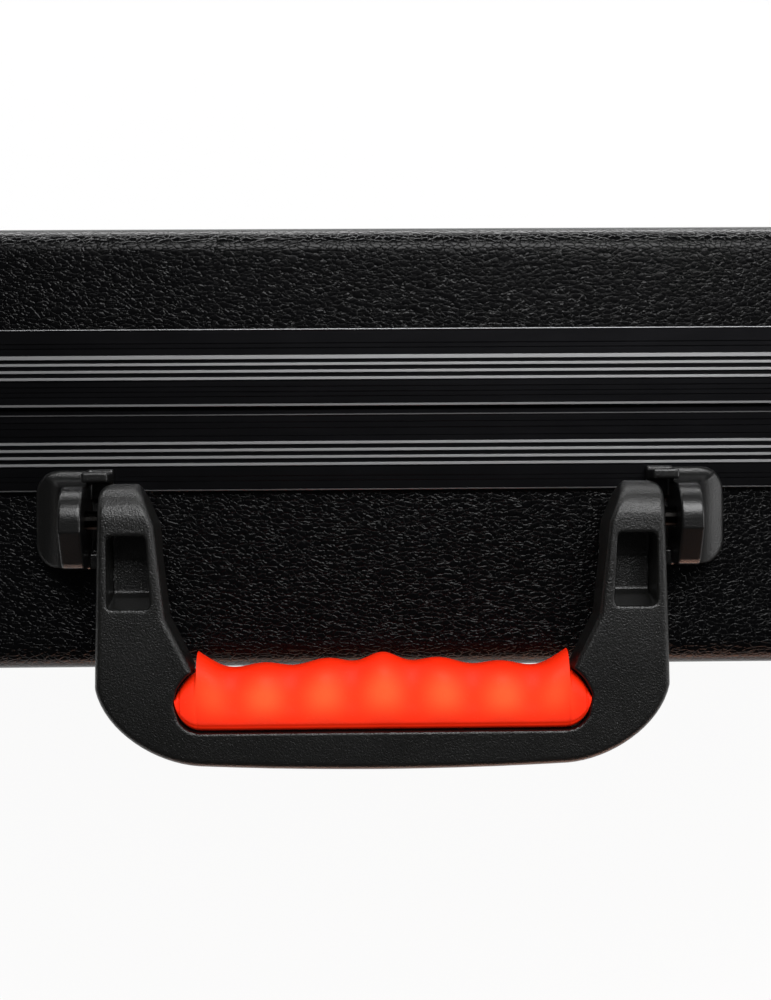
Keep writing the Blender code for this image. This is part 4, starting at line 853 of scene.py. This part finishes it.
def grip_seat_outline():
    """The grip's outline, a seat gap larger, as the frame is cut away for it."""
    ends = np.linspace(GRIP_HORN_X, GRIP_HALF_WIDTH, 14)
    x = np.concatenate((np.linspace(0, GRIP_HORN_X - 0.2 * MM, 60), ends))
    x = np.concatenate((-x[:0:-1], x))
    lower, upper = grip_edges(x)
    wide = x * (1 + SEAT / GRIP_HALF_WIDTH)
    below = np.stack((wide, lower - SEAT), -1)
    above = np.stack((wide, upper + SEAT), -1)
    return np.vstack((below, above[::-1]))


def pin_distance(y, rise):
    """Signed distance to the hole of a pin, endless along the handle's axis."""
    return np.hypot(y - PIVOT_Y, rise - PIVOT_RISE) - PIN_RADIUS - PIN_PLAY


def handle_frame_shape(settings):
    """The handle's moulded frame: front and side outlines meet in one solid with rounded edges.

    A window-shaped pocket is cut into each arm, with a deep end, a ramp, a ledge and a steep foot.
    The grip's seat is cut on both sides of a thin web, which stands inside the grip as its core,
    and the holes of the pins are cut too.
    """
    front = handle_front_outline()
    side = handle_side_outline()
    seat = grip_seat_outline()[::3]
    top = PIVOT_Y - POCKET_OFFSET
    foot = top - POCKET_LENGTH
    deep = ARM_FRONT - POCKET_DEPTH
    depth = round_corners([
        (top, ARM_FRONT + 3 * MM), (top, deep + 2.4 * MM), (top - 0.34 * POCKET_LENGTH, deep),
        (foot + 4 * MM, deep - 0.5 * MM), (foot + 2.6 * MM, deep + 1.2 * MM),
        (foot, ARM_FRONT), (foot, ARM_FRONT + 3 * MM),
    ], 0.6 * MM, 3)
    heel_rise = ARM_BACK - 2 * MM
    outer = HANDLE_HALF_WIDTH - POCKET_INSET
    inner = outer - POCKET_WIDTH
    window = round_corners(
        [(inner - POCKET_TAPER, foot), (outer, foot), (outer, top), (inner, top)], 2 * MM, 6
    )

    def distance(x, y, z):
        rise = z - FRONT_WALL_Z
        solid = meet(cross_distance(x, y, front), cross_distance(y, rise, side), settings.edge_round)
        solid = meet(solid, heel_rise - rise, 0.8 * MM)
        reach = np.abs(x)
        hollow = meet(cross_distance(reach, y, window), cross_distance(y, rise, depth), 0.4 * MM)
        solid = cut(solid, hollow, 0.5 * MM)
        beside_web = WEB_HALF - np.abs(rise - ARM_MIDDLE)
        solid = cut(solid, meet(cross_distance(x, y, seat), beside_web, 0.1 * MM), 0.35 * MM)
        bore = meet(pin_distance(y, rise), HANDLE_HALF_WIDTH - PIN_SOCKET - reach, 0.1 * MM)
        return cut(solid, bore, 0.3 * MM)

    side_room, room = 2 * MM, 1 * MM
    low = (-HANDLE_HALF_WIDTH - side_room, -HANDLE_DROP - room, FRONT_WALL_Z + heel_rise - room)
    knuckle_top, front_face = PIVOT_Y + KNUCKLE_RADIUS, FRONT_WALL_Z + ARM_FRONT
    high = (HANDLE_HALF_WIDTH + side_room, knuckle_top + room, front_face + room)
    return net_surface(distance, low, high, HANDLE_NET)


def grip_shape(settings):
    """The grip as rings along X, and how far each point lies on a crown, which sets the strength of its
    painted highlight.

    Each ring is a rounded box (the cosine and sine of a turn raised to a power below one), boxy
    towards the bar and rounder under the fingers. Between the fingers it swells by a cosine, and a
    groove sets a flat border off from the body along the lower edge and round the ends.
    """
    body = np.linspace(0, GRIP_HORN_X - 0.3 * MM, 130)
    ends = GRIP_HORN_X + (GRIP_HALF_WIDTH - GRIP_HORN_X) * (1 - (1 - np.linspace(0, 1, 42)) ** 2)
    x = np.concatenate((body, ends))
    x = np.concatenate((-x[:0:-1], x))[:, None]
    lower, upper = grip_edges(x)
    middle, half_height = (lower + upper) / 2, (upper - lower) / 2
    end = np.clip(np.abs(x) / GRIP_HALF_WIDTH - 0.85, 0, 1) / 0.15
    half = (GRIP_THICKNESS / 2 + GRIP_SWELL - settings.finger_swell) * (1 - 0.1 * end ** 2)
    turn = 2 * np.pi * (np.arange(128) + 0.5) / 128
    along, around = np.cos(turn), np.sin(turn)
    power = np.where(along > 0, 0.8, 0.62)
    y = middle + half_height * np.sign(along) * np.abs(along) ** power
    box = np.sign(around) * np.abs(around) ** power
    height = (y - lower) / (upper - lower)
    fingers = np.cos(2 * np.pi * x / FINGER_PITCH)
    swell = settings.finger_swell * fingers
    swell = swell * smooth_step((height - 0.1) / 0.35)
    swell = swell * smooth_step((GRIP_HORN_X - np.abs(x)) / (8 * MM))
    inward = np.minimum(y - lower, (GRIP_HALF_WIDTH - np.abs(x)) * 1.3)
    line = -0.35 * MM * np.exp(-(((inward - 1.5 * MM) / (0.4 * MM)) ** 2))
    border = -0.25 * MM * (1 - smooth_step((inward - 1.2 * MM) / (0.8 * MM)))
    relief = (swell + line + border) * smooth_step(np.abs(box) * 2 - 0.9)
    z = FRONT_WALL_Z + ARM_MIDDLE + half * box + relief * np.sign(box)
    # Painted highlight: strongest across the middle of the grip and on the finger swellings, fading near
    # the ends.
    crown = smooth_step(1 - np.abs(height - 0.52) / 0.46) * (0.62 + 0.38 * fingers)
    crown = crown * smooth_step((GRIP_HALF_WIDTH - np.abs(x)) / (16 * MM))
    return loft(np.stack((np.broadcast_to(x, y.shape), y, z), -1)), crown.ravel()


def bracket_shape():
    """The right bracket: a foot plate, one ear with a hollow flare, and a stop for the arm."""
    over_rim = PLATE_FACE + LIP_HEIGHT + SEAT
    collar = over_rim + 2.2 * MM
    rim_edge = -RIM_REACH - 0.5 * MM
    knuckle_end = PIVOT_Y - KNUCKLE_RADIUS + 0.8 * MM
    pad = [
        (-BRACKET_TOP, over_rim), (rim_edge, over_rim), (rim_edge, SEAT), (-BRACKET_FOOT, SEAT),
        (-BRACKET_FOOT, ARM_BACK - SEAT), (knuckle_end, ARM_BACK - SEAT),
        (knuckle_end + 0.4 * MM, PAD_THICKNESS + SEAT), (rim_edge - 2.6 * MM, PAD_THICKNESS + SEAT),
        (rim_edge - 1.8 * MM, collar), (-BRACKET_TOP, collar),
    ]
    nose = arc((PIVOT_Y, PIVOT_RISE), EAR_RADIUS, 0, 90, 16)
    rising = bezier(
        (-BRACKET_TOP, collar), (-BRACKET_TOP - 3.6 * MM, collar + 0.8 * MM),
        (nose[0][0], collar + 3 * MM), nose[0], 12,
    )
    top = PIVOT_RISE + EAR_RADIUS
    ear_side = np.vstack((
        [(-BRACKET_TOP, over_rim)], rising, nose[1:],
        [(PIVOT_Y - 3 * MM, top), (-BRACKET_FOOT + 1.6 * MM, top - 5 * MM)],
        [(-BRACKET_FOOT + 0.5 * MM, top - 6 * MM), (-BRACKET_FOOT, top - 8 * MM)],
        [(-BRACKET_FOOT, SEAT), (rim_edge, SEAT), (rim_edge, over_rim)],
    ))
    curve = bezier(
        (PIVOT_RISE, EAR_OUTER), (0.55 * PIVOT_RISE, EAR_OUTER + 0.3 * MM),
        (PAD_THICKNESS + 3 * MM, BRACKET_OUTER - 3 * MM), (PAD_THICKNESS + 1 * MM, BRACKET_OUTER), 14,
    )
    below, above = -2 * MM, 40 * MM
    flare = np.vstack((
        [(below, EAR_INNER), (above, EAR_INNER), (above, EAR_OUTER)], curve, [(below, BRACKET_OUTER)],
    ))
    footprint = rounded_rectangle(
        (BRACKET_INNER, -BRACKET_FOOT), (BRACKET_OUTER, -BRACKET_TOP), 7 * MM, 8
    )
    stop_back = PIVOT_Y + KNUCKLE_RADIUS + SEAT
    lug_inner, foot_outer = HANDLE_HALF_WIDTH - 1.8 * MM, EAR_INNER + 1 * MM

    def distance(x, y, z):
        rise = z - FRONT_WALL_Z
        beside = np.abs(x - (BRACKET_INNER + foot_outer) / 2) - (foot_outer - BRACKET_INNER) / 2
        foot = meet(cross_distance(y, rise, pad), beside, 0.5 * MM)
        open_rim = box_distance(
            x, y, rise, (0, -RIM_REACH - 3.1 * MM, -2 * MM), (lug_inner, 0, 30 * MM), 0.3 * MM
        )
        foot = cut(foot, open_rim, 0.4 * MM)
        ear = meet(cross_distance(y, rise, ear_side), cross_distance(rise, x, flare), 0.7 * MM)
        ear = meet(ear, cross_distance(x, y, footprint), 0.8 * MM)
        stop = box_distance(
            x, y, rise, (lug_inner, stop_back, over_rim + 1 * MM),
            (foot_outer, stop_back + 2.7 * MM, STOP_HEIGHT), 0.5 * MM,
        )
        solid = join(join(foot, ear, 0.5 * MM), stop, 0.4 * MM)
        bore = meet(pin_distance(y, rise), np.abs(x - EAR_INNER - 1.8 * MM) - 2.8 * MM, 0.1 * MM)
        return cut(solid, bore, 0.25 * MM)

    low = (BRACKET_INNER - 1 * MM, -BRACKET_FOOT - 1 * MM, FRONT_WALL_Z - 0.7 * MM)
    high = (BRACKET_OUTER + 1 * MM, -BRACKET_TOP + 1 * MM, FRONT_WALL_Z + top + 1 * MM)
    return net_surface(distance, low, high, BRACKET_NET)


# Shapes of the foam


def base_foam_shape(settings):
    """The base's foam block with two pockets and two finger notches, all edges softened."""
    floor = -BASE_HEIGHT + SHELL_WALL + SEAT
    half = HALF_WIDTH - FOAM_INSET - FOAM_WALL
    bottom = HINGE_WALL_Z + FOAM_INSET + FOAM_WALL
    top = FRONT_WALL_Z - FOAM_INSET - FOAM_WALL
    split = top - ACCESSORY_POCKET
    notch_z = (bottom + split - POCKET_BRIDGE) / 2
    block = case_path(FOAM_INSET, CORNER_RADIUS - FOAM_INSET, 8)
    large = rounded_rectangle((-half, bottom), (half, split - POCKET_BRIDGE), POCKET_CORNER, 6)
    small = rounded_rectangle((-half, split), (half, top), POCKET_CORNER, 6)

    def distance(x, y, z):
        outline = cross_distance(x, z, block)
        level = np.maximum(y + FOAM_TOP, floor - y)
        chamfer = (outline + floor - y + FOAM_CHAMFER) / math.sqrt(2)
        solid = meet(meet(outline, level, settings.soft_edge), chamfer, 1 * MM)
        deep = meet(cross_distance(x, z, large), floor + FOAM_FLOOR - y, 2 * MM)
        shallow = meet(cross_distance(x, z, small), floor + FOAM_FLOOR - y, 2 * MM)
        notch = np.hypot(np.abs(x) - half, z - notch_z) - FINGER_NOTCH
        notch = meet(notch, floor + 2 * FOAM_FLOOR - y, 2 * MM)
        solid = cut(solid, join(deep, notch, 2 * MM), settings.soft_edge)
        return cut(solid, shallow, settings.soft_edge)

    low = (-HALF_WIDTH + FOAM_INSET - 3 * MM, floor - 2 * MM, HINGE_WALL_Z + FOAM_INSET - 3 * MM)
    high = (HALF_WIDTH - FOAM_INSET + 3 * MM, -FOAM_TOP + 2.5 * MM, FRONT_WALL_Z - FOAM_INSET + 3 * MM)
    return net_surface(distance, low, high, FOAM_NET)


def lid_foam_shape():
    """The lid's convoluted foam: a grid whose height is the product of two cosines, on a flat back.

    Rows outside the grid fold down to the back, so the sheet is closed.
    """
    width, depth = 2 * (HALF_WIDTH - FOAM_INSET), FRONT_WALL_Z - HINGE_WALL_Z - 2 * FOAM_INSET
    back = LID_HEIGHT - SHELL_WALL - SEAT
    columns, rows = BUMP_STEPS * BUMP_COLUMNS, BUMP_STEPS * BUMP_ROWS
    u, v = np.meshgrid(np.linspace(-0.5, 0.5, columns + 1), np.linspace(-0.5, 0.5, rows + 1))
    wave = np.cos(2 * np.pi * u * BUMP_COLUMNS) * np.cos(2 * np.pi * v * BUMP_ROWS)
    bump = LID_FOAM_BUMP * (0.5 + 0.5 * np.sign(wave) * np.abs(wave) ** 0.85)
    edge = np.minimum((0.5 - np.abs(u)) * width, (0.5 - np.abs(v)) * depth)
    bump = bump * smooth_step(edge / (5 * MM) + 0.5)
    x, z = u * width, v * depth
    radius = CORNER_RADIUS - FOAM_INSET
    away_x, away_z = np.abs(x) - width / 2 + radius, np.abs(z) - depth / 2 + radius
    length = np.hypot(away_x, away_z)
    corner = (away_x > 0) & (away_z > 0)
    square = np.maximum(away_x, away_z)
    shrink = np.where(corner, square / np.maximum(length, 1e-9), 1)
    x = np.where(corner, np.sign(x) * (width / 2 - radius + away_x * shrink), x)
    z = np.where(corner, np.sign(z) * (depth / 2 - radius + away_z * shrink), z)
    top = np.stack((x, back - LID_FOAM_BACKING - bump, MIDDLE_Z + z), -1)
    count = (rows + 1) * (columns + 1)
    faces = grid_faces(rows + 1, columns + 1, False, False).tolist()
    number = np.arange(count).reshape(rows + 1, columns + 1)
    border = np.concatenate((number[0, :-1], number[:-1, -1], number[-1, :0:-1], number[:0:-1, 0]))
    points = [top.reshape(-1, 3)]
    outline = points[0][border]
    last = border
    start = count
    side = back - LID_FOAM_BACKING * 0.75
    for level, inset in ((side, 0), (back - FOAM_CHAMFER, 0), (back, FOAM_CHAMFER)):
        ring = outline.copy()
        scale = np.array((1 - 2 * inset / width, 1, 1 - 2 * inset / depth))
        ring = (ring - (0, 0, MIDDLE_Z)) * scale + (0, 0, MIDDLE_Z)
        ring[:, 1] = level
        here = start + np.arange(len(border))
        after = np.roll(np.arange(len(border)), -1)
        faces += np.stack((last[after], last, here, here[after]), -1).tolist()
        points.append(ring)
        last, start = here, start + len(border)
    faces.append(last.tolist()[::-1])
    return np.vstack(points), faces


# Settings that a user may change


COLOUR = {"subtype": "COLOR", "size": 3, "min": 0, "max": 1}
FINE = {"subtype": "DISTANCE", "precision": 5}


class CaseBodySettings(bpy.types.PropertyGroup):
    """Shells and rims."""

    plastic: FloatVectorProperty(
        name="Shell plastic", description="Colour of the moulded shells",
        default=linear("#040405"), **COLOUR,
    )
    grain_size: FloatProperty(
        name="Grain size", description="Width of one pebble of the leather grain",
        unit="LENGTH", min=0.0005, max=0.01, default=1.2 * MM, **FINE,
    )
    grain_depth: FloatProperty(
        name="Grain depth", description="Height of the pebbles over their valleys",
        unit="LENGTH", min=0.0, max=0.002, default=0.055 * MM, **FINE,
    )
    dye: FloatVectorProperty(
        name="Anodised colour", description="Colour of the dyed aluminium",
        default=linear("#1E1E20"), **COLOUR,
    )
    # Also the colour of the lips' painted highlight.
    bright_cut: FloatVectorProperty(
        name="Bright cut", description="Colour of the machined crests",
        default=linear("#B8B8BA"), **COLOUR,
    )


class HandleSettings(bpy.types.PropertyGroup):
    """Handle, grip and brackets."""

    frame_colour: FloatVectorProperty(
        name="Handle plastic", description="Colour of the handle's frame",
        default=linear("#070706"), **COLOUR,
    )
    bracket_colour: FloatVectorProperty(
        name="Bracket plastic", description="Colour of the brackets",
        default=linear("#070707"), **COLOUR,
    )
    grip_colour: FloatVectorProperty(
        name="Grip colour", description="Colour of the soft grip",
        default=linear("#FF2400"), **COLOUR,
    )
    # Colour of the painted highlight on the grip's swellings.
    grip_painted_highlight_colour: FloatVectorProperty(
        name="Grip crown", description="Colour where the grip's skin is stretched",
        default=linear("#FF5A2A"), **COLOUR,
    )
    edge_round: FloatProperty(
        name="Edge radius", description="Radius of the frame's outer edges",
        unit="LENGTH", min=0.0003, max=0.004, default=1.6 * MM, **FINE,
    )
    finger_swell: FloatProperty(
        name="Finger swell", description="How far the grip rises between two fingers",
        unit="LENGTH", min=0.0, max=0.002, default=0.8 * MM, **FINE,
    )


class FittingsSettings(bpy.types.PropertyGroup):
    """Latches, hinges, feet and foam."""

    plating: FloatVectorProperty(
        name="Plating", description="Colour of the nickel plating",
        default=linear("#CFCBC2"), **COLOUR,
    )
    # The pin steel is much darker than the plating: painted shade for the pins in the gap between
    # knuckle and ear.
    steel: FloatVectorProperty(
        name="Pin steel", description="Colour of the handle's oiled pins",
        default=linear("#1A1918"), **COLOUR,
    )
    rubber: FloatVectorProperty(
        name="Rubber", description="Colour of the feet",
        default=linear("#232324"), **COLOUR,
    )
    foam: FloatVectorProperty(
        name="Foam", description="Colour of the foam liners",
        default=linear("#3A3A3C"), **COLOUR,
    )
    cell_size: FloatProperty(
        name="Foam cells", description="Width of the foam's pores",
        unit="LENGTH", min=0.0003, max=0.005, default=1.1 * MM, **FINE,
    )
    soft_edge: FloatProperty(
        name="Foam edge", description="Radius of the foam's cut edges",
        unit="LENGTH", min=0.0005, max=0.008, default=3 * MM, **FINE,
    )


class StageSettings(bpy.types.PropertyGroup):
    """Floor, lamps and camera."""

    floor_colour: FloatVectorProperty(
        name="Floor", description="Colour of the studio floor",
        default=linear("#F4F4F4"), **COLOUR,
    )
    key_power: FloatProperty(
        name="Key lamp", description="Power of the high lamp past the lid", unit="POWER",
        min=0, max=500, default=8.8,
    )
    strip_power: FloatProperty(
        name="Lid side strip", description="Power of the low strip on the lid side", unit="POWER",
        min=0, max=500, default=9,
    )
    side_power: FloatProperty(
        name="Side lamp", description="Power of the right lamp; the low bounce has twice as much",
        unit="POWER", min=0, max=500, default=2.0,
    )
    camera_distance: FloatProperty(
        name="Camera distance", description="From the front wall to the camera", unit="LENGTH",
        min=0.2, max=3, default=PHOTO_DISTANCE,
    )


GROUPS = {
    "case_body_settings": CaseBodySettings,
    "case_handle_settings": HandleSettings,
    "case_fittings_settings": FittingsSettings,
    "case_stage_settings": StageSettings,
}


# Operators, one for each group of pieces


class CASE_OT_shells(bpy.types.Operator):
    """Mould the base shell and the lid shell"""

    bl_idname = "effects_case.shells"
    bl_label = "Shells"

    def execute(self, context):
        finish = grained_abs(context.scene.case_body_settings)
        base = shell_shape(BASE_HEIGHT, -1)
        lid = shell_shape(LID_HEIGHT, 1)
        finish_piece("base_shell_moulding", base, finish, "base", ("base_shell",), 50)
        finish_piece("lid_shell_moulding", lid, finish, "lid", ("lid_shell",), 50)
        return {"FINISHED"}


class CASE_OT_rims(bpy.types.Operator):
    """Extrude the two ribbed rims round the case"""

    bl_idname = "effects_case.rims"
    bl_label = "Rims"

    def execute(self, context):
        finish = anodised_rim(context.scene.case_body_settings)
        for body, rim, side in (("base", BASE_RIM, -1), ("lid", LID_RIM, 1)):
            profile = rim_profile(rim)
            points, faces, path = rim_shape(profile, side)
            name, shape = f"{body}_rim_extrusion", (points, faces)
            item = finish_piece(name, shape, finish, body, (f"{body}_rim",), 30)
            add_rim_map(item, profile, path)
        return {"FINISHED"}


class CASE_OT_handle(bpy.types.Operator):
    """Mould the handle's frame"""

    bl_idname = "effects_case.handle"
    bl_label = "Handle"

    def execute(self, context):
        settings = context.scene.case_handle_settings
        colour, shape = settings.frame_colour, handle_frame_shape(settings)
        finish = speckled_plastic("spark_textured_nylon", colour, 0.5 * MM, depth=0.15 * MM, gloss=0.34)
        name, nodes = "handle_frame_moulding", ("handle_frame",)
        finish_piece(name, shape, finish, "handle", nodes, 60)
        return {"FINISHED"}


class CASE_OT_grip(bpy.types.Operator):
    """Mould the soft grip over the bar"""

    bl_idname = "effects_case.grip"
    bl_label = "Grip"

    def execute(self, context):
        settings = context.scene.case_handle_settings
        finish = orange_elastomer(settings)
        shape, crown = grip_shape(settings)
        name, nodes = "handle_grip_sleeve", ("handle_grip",)
        item = finish_piece(name, shape, finish, "handle", nodes, 60)
        # The crown attribute carries the grip's painted highlight.
        layer = item.data.attributes.new("crown", "FLOAT", "POINT")
        layer.data.foreach_set("value", crown)
        return {"FINISHED"}


class CASE_OT_brackets(bpy.types.Operator):
    """Mould both brackets of the handle"""

    bl_idname = "effects_case.brackets"
    bl_label = "Brackets"

    def execute(self, context):
        settings = context.scene.case_handle_settings
        colour = settings.bracket_colour
        finish = speckled_plastic("satin_nylon", colour, 0.5 * MM, depth=0.07 * MM, gloss=0.3)
        right = bracket_shape()
        for shape, word in ((right, "right"), (mirrored(right), "left")):
            node = f"handle_bracket_{word}"
            finish_piece(f"bracket_moulding_{word}", shape, finish, "base", (node,), 60)
        return {"FINISHED"}


METAL_NAMES = ("latch", "hinge", "handle_pin", "handle_screw", "handle_backing")


class CASE_OT_fittings(bpy.types.Operator):
    """Give the latches, hinges, pins and screws their plating and the feet their rubber"""

    bl_idname = "effects_case.fittings"
    bl_label = "Fittings"

    def execute(self, context):
        settings = context.scene.case_fittings_settings
        plating = nickel_plate("nickel_plated_steel", settings.plating)
        rubber = foot_rubber(settings)
        # The pins get a steel painted dark, a painted shade for the gap beside the ears.
        dark_steel = nickel_plate("pin_steel_painted_dark", settings.steel)
        for name, node in frame["nodes"].items():
            if node.hide_render:
                continue
            is_foot = "foot" in name
            if is_foot or name.startswith(METAL_NAMES):
                node.data.materials.clear()
                metal = dark_steel if name.startswith("handle_pin") else plating
                node.data.materials.append(rubber if is_foot else metal)
        return {"FINISHED"}


class CASE_OT_foam(bpy.types.Operator):
    """Cut the foam liners of the base and the lid"""

    bl_idname = "effects_case.foam"
    bl_label = "Foam"

    def execute(self, context):
        settings = context.scene.case_fittings_settings
        finish = open_cell_foam(settings)
        base = finish_piece(
            "base_foam_liner", base_foam_shape(settings), finish, "base", ("base_foam",), 70
        )
        lid = finish_piece("lid_foam_liner", lid_foam_shape(), finish, "lid", ("lid_foam",), 70)
        return {"FINISHED"}


class CASE_OT_stage(bpy.types.Operator):
    """Set up the floor, the lamps, the world and the camera"""

    bl_idname = "effects_case.stage"
    bl_label = "Stage"

    def execute(self, context):
        settings = context.scene.case_stage_settings
        make_floor(settings)
        make_world()
        make_lamps(settings)
        make_camera(settings)
        context.scene.view_settings.view_transform = "Standard"
        return {"FINISHED"}


def seen_directly(tree):
    """One for rays from the camera, from a gloss or through glass, and nought for all others."""
    rays = add_node(tree, "ShaderNodeLightPath").outputs
    first = add_node(tree, "ShaderNodeMath", _0=rays["Is Camera Ray"], _1=rays["Is Glossy Ray"])
    inputs = {"_0": first.outputs[0], "_1": rays["Is Transmission Ray"]}
    return add_node(tree, "ShaderNodeMath", {"use_clamp": True}, **inputs).outputs[0]


def lid_drop():
    """How far the opening lid reaches below the ground: its box's corners turned about the hinge."""
    low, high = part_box("lid_shell")
    axis = joint("lid_hinge")
    angle = np.radians(np.linspace(*axis["range_deg"], 40))
    y = np.array((low.y, high.y))[:, None] - axis["pos_m"][1]
    z = np.array((low.z, high.z))[:, None, None] - axis["pos_m"][2]
    return -float((z * np.cos(angle) - y * np.sin(angle)).min()) - axis["pos_m"][2]


def make_floor(settings):
    """A pale floor in two levels: one under the base, and one that leaves room for the open lid."""
    finish, tree, _ = new_finish("studio_floor")
    paper = add_node(tree, "ShaderNodeBsdfDiffuse", Color=(*settings.floor_colour, 1)).outputs[0]
    white = add_node(tree, "ShaderNodeEmission", Color=(1, 1, 1, 1), Strength=1.0).outputs[0]
    share = multiply_add(tree, seen_directly(tree), FLOOR_WHITE, 0.0)
    show(tree, add_node(tree, "ShaderNodeMixShader", _0=share, _1=paper, _2=white))
    low = -lid_drop() - FLOOR_GAP
    rows = ((-FLOOR_REACH, 0.0), (0.0, 0.0), (0.0, low), (FLOOR_REACH, low))
    points = np.array([(x, y, z) for y, z in rows for x in (-FLOOR_REACH, FLOOR_REACH)])
    mesh = bpy.data.meshes.new("studio_floor")
    mesh.from_pydata(points.tolist(), [], grid_faces(4, 2, False, False).tolist())
    mesh.materials.append(finish)
    item = bpy.data.objects.new("studio_floor", mesh)
    bpy.context.scene.collection.objects.link(item)


def make_world():
    """A white backdrop for the camera; gloss sees a white horizon under a dim ceiling."""
    world = bpy.data.worlds.new("studio_world")
    bpy.context.scene.world = world
    world.use_nodes = True
    tree = world.node_tree
    tree.nodes.clear()
    direction = add_node(tree, "ShaderNodeTexCoord").outputs["Generated"]
    up = add_node(tree, "ShaderNodeSeparateXYZ", Vector=direction).outputs["Z"]
    rise = spread(tree, up, 0.0, 1.0, -0.02, 0.09, "SMOOTHSTEP")
    backdrop = blend(tree, rise, (1, 1, 1), linear("#141414"))
    camera = add_node(tree, "ShaderNodeLightPath").outputs["Is Camera Ray"]
    paper = blend(tree, camera, backdrop, (1, 1, 1))
    seen = add_node(tree, "ShaderNodeBackground", Color=paper, Strength=1.0).outputs[0]
    soft = spread(tree, up, 1.2, 0.6, -0.1, 0.7)
    lit = add_node(tree, "ShaderNodeBackground", Color=(1, 1, 1, 1), Strength=soft).outputs[0]
    mixed = add_node(tree, "ShaderNodeMixShader", _0=seen_directly(tree), _1=lit, _2=seen)
    output = tree.nodes.new("ShaderNodeOutputWorld")
    tree.links.new(mixed.outputs[0], output.inputs["Surface"])


def make_lamps(settings):
    """Soft boxes round the handle: a key high past the lid, a low strip behind it and two fills."""
    aim = Vector((0, 0, FRONT_WALL_Z))
    lamps = (
        ("key_softbox", (0.16, 0.66, 1.04), (0.9, 0.44), settings.key_power, "#FFFFFF"),
        ("lid_side_strip", (0.1, 0.9, -0.3), (1.4, 0.26), settings.strip_power, "#FFFFFF"),
        ("right_softbox", (1.15, 0.1, 0.6), (0.4, 0.6), settings.side_power, "#FFFFFF"),
        ("low_bounce", (0.2, -1.0, -0.15), (1.0, 0.3), settings.side_power * 2, "#D08458"),
    )
    for name, offset, size, power, colour in lamps:
        light = bpy.data.lights.new(name, "AREA")
        light.shape = "RECTANGLE"
        light.size, light.size_y = size
        light.energy = power
        light.color = linear(colour)
        item = bpy.data.objects.new(name, light)
        bpy.context.scene.collection.objects.link(item)
        item.location = aim + Vector(offset)
        item.rotation_euler = Vector(offset).to_track_quat("Z", "Y").to_euler()


def make_camera(settings):
    """The photograph's camera: straight down on the front wall, the lid at the top of the picture."""
    camera = bpy.data.cameras.new("photo_camera")
    camera.sensor_width = SENSOR_WIDTH
    camera.lens = SENSOR_WIDTH * PHOTO_DISTANCE / PHOTO_FIELD
    camera.clip_start = 0.01
    item = bpy.data.objects.new("photo_camera", camera)
    bpy.context.scene.collection.objects.link(item)
    x, y = PHOTO_MIDDLE
    item.location = (x, PARTING_Y + y, FRONT_WALL_Z + settings.camera_distance)
    item.rotation_euler = (0, math.radians(PHOTO_LEAN), math.radians(PHOTO_TURN))
    bpy.context.scene.camera = item


class CASE_PT_panel(bpy.types.Panel):
    """Lists the steps that dress the case"""

    bl_label = "Effects processor case"
    bl_idname = "CASE_PT_panel"
    bl_space_type = "VIEW_3D"
    bl_region_type = "UI"
    bl_category = "Case"

    def draw(self, context):
        layout = self.layout
        for name, group in GROUPS.items():
            box = layout.box()
            box.label(text=group.__doc__)
            for key in group.__annotations__:
                box.prop(getattr(context.scene, name), key)
        for step in STEPS:
            layout.operator(step.bl_idname)


STEPS = (
    CASE_OT_shells,
    CASE_OT_rims,
    CASE_OT_handle,
    CASE_OT_grip,
    CASE_OT_brackets,
    CASE_OT_foam,
    CASE_OT_fittings,
    CASE_OT_stage,
)


def register():
    """Registers the settings, the operators and the panel."""
    for name, group in GROUPS.items():
        bpy.utils.register_class(group)
        setattr(bpy.types.Scene, name, PointerProperty(type=group))
    for step in STEPS:
        bpy.utils.register_class(step)
    bpy.utils.register_class(CASE_PT_panel)


def unregister():
    """Takes them all away again."""
    bpy.utils.unregister_class(CASE_PT_panel)
    for step in reversed(STEPS):
        bpy.utils.unregister_class(step)
    for name, group in reversed(GROUPS.items()):
        delattr(bpy.types.Scene, name)
        bpy.utils.unregister_class(group)


def remove_start_objects():
    """Takes Blender's own start objects out of the scene and leaves the frame."""
    for name in ("Cube", "Light", "Camera"):
        item = bpy.data.objects.get(name)
        if item and item.name not in frame["nodes"]:
            bpy.data.objects.remove(item)


def main():
    """Dresses the case step by step."""
    register()
    remove_start_objects()
    for step in STEPS:
        group, name = step.bl_idname.split(".")
        getattr(getattr(bpy.ops, group), name)()
    bpy.context.view_layer.update()


if __name__ == "__main__":
    main()
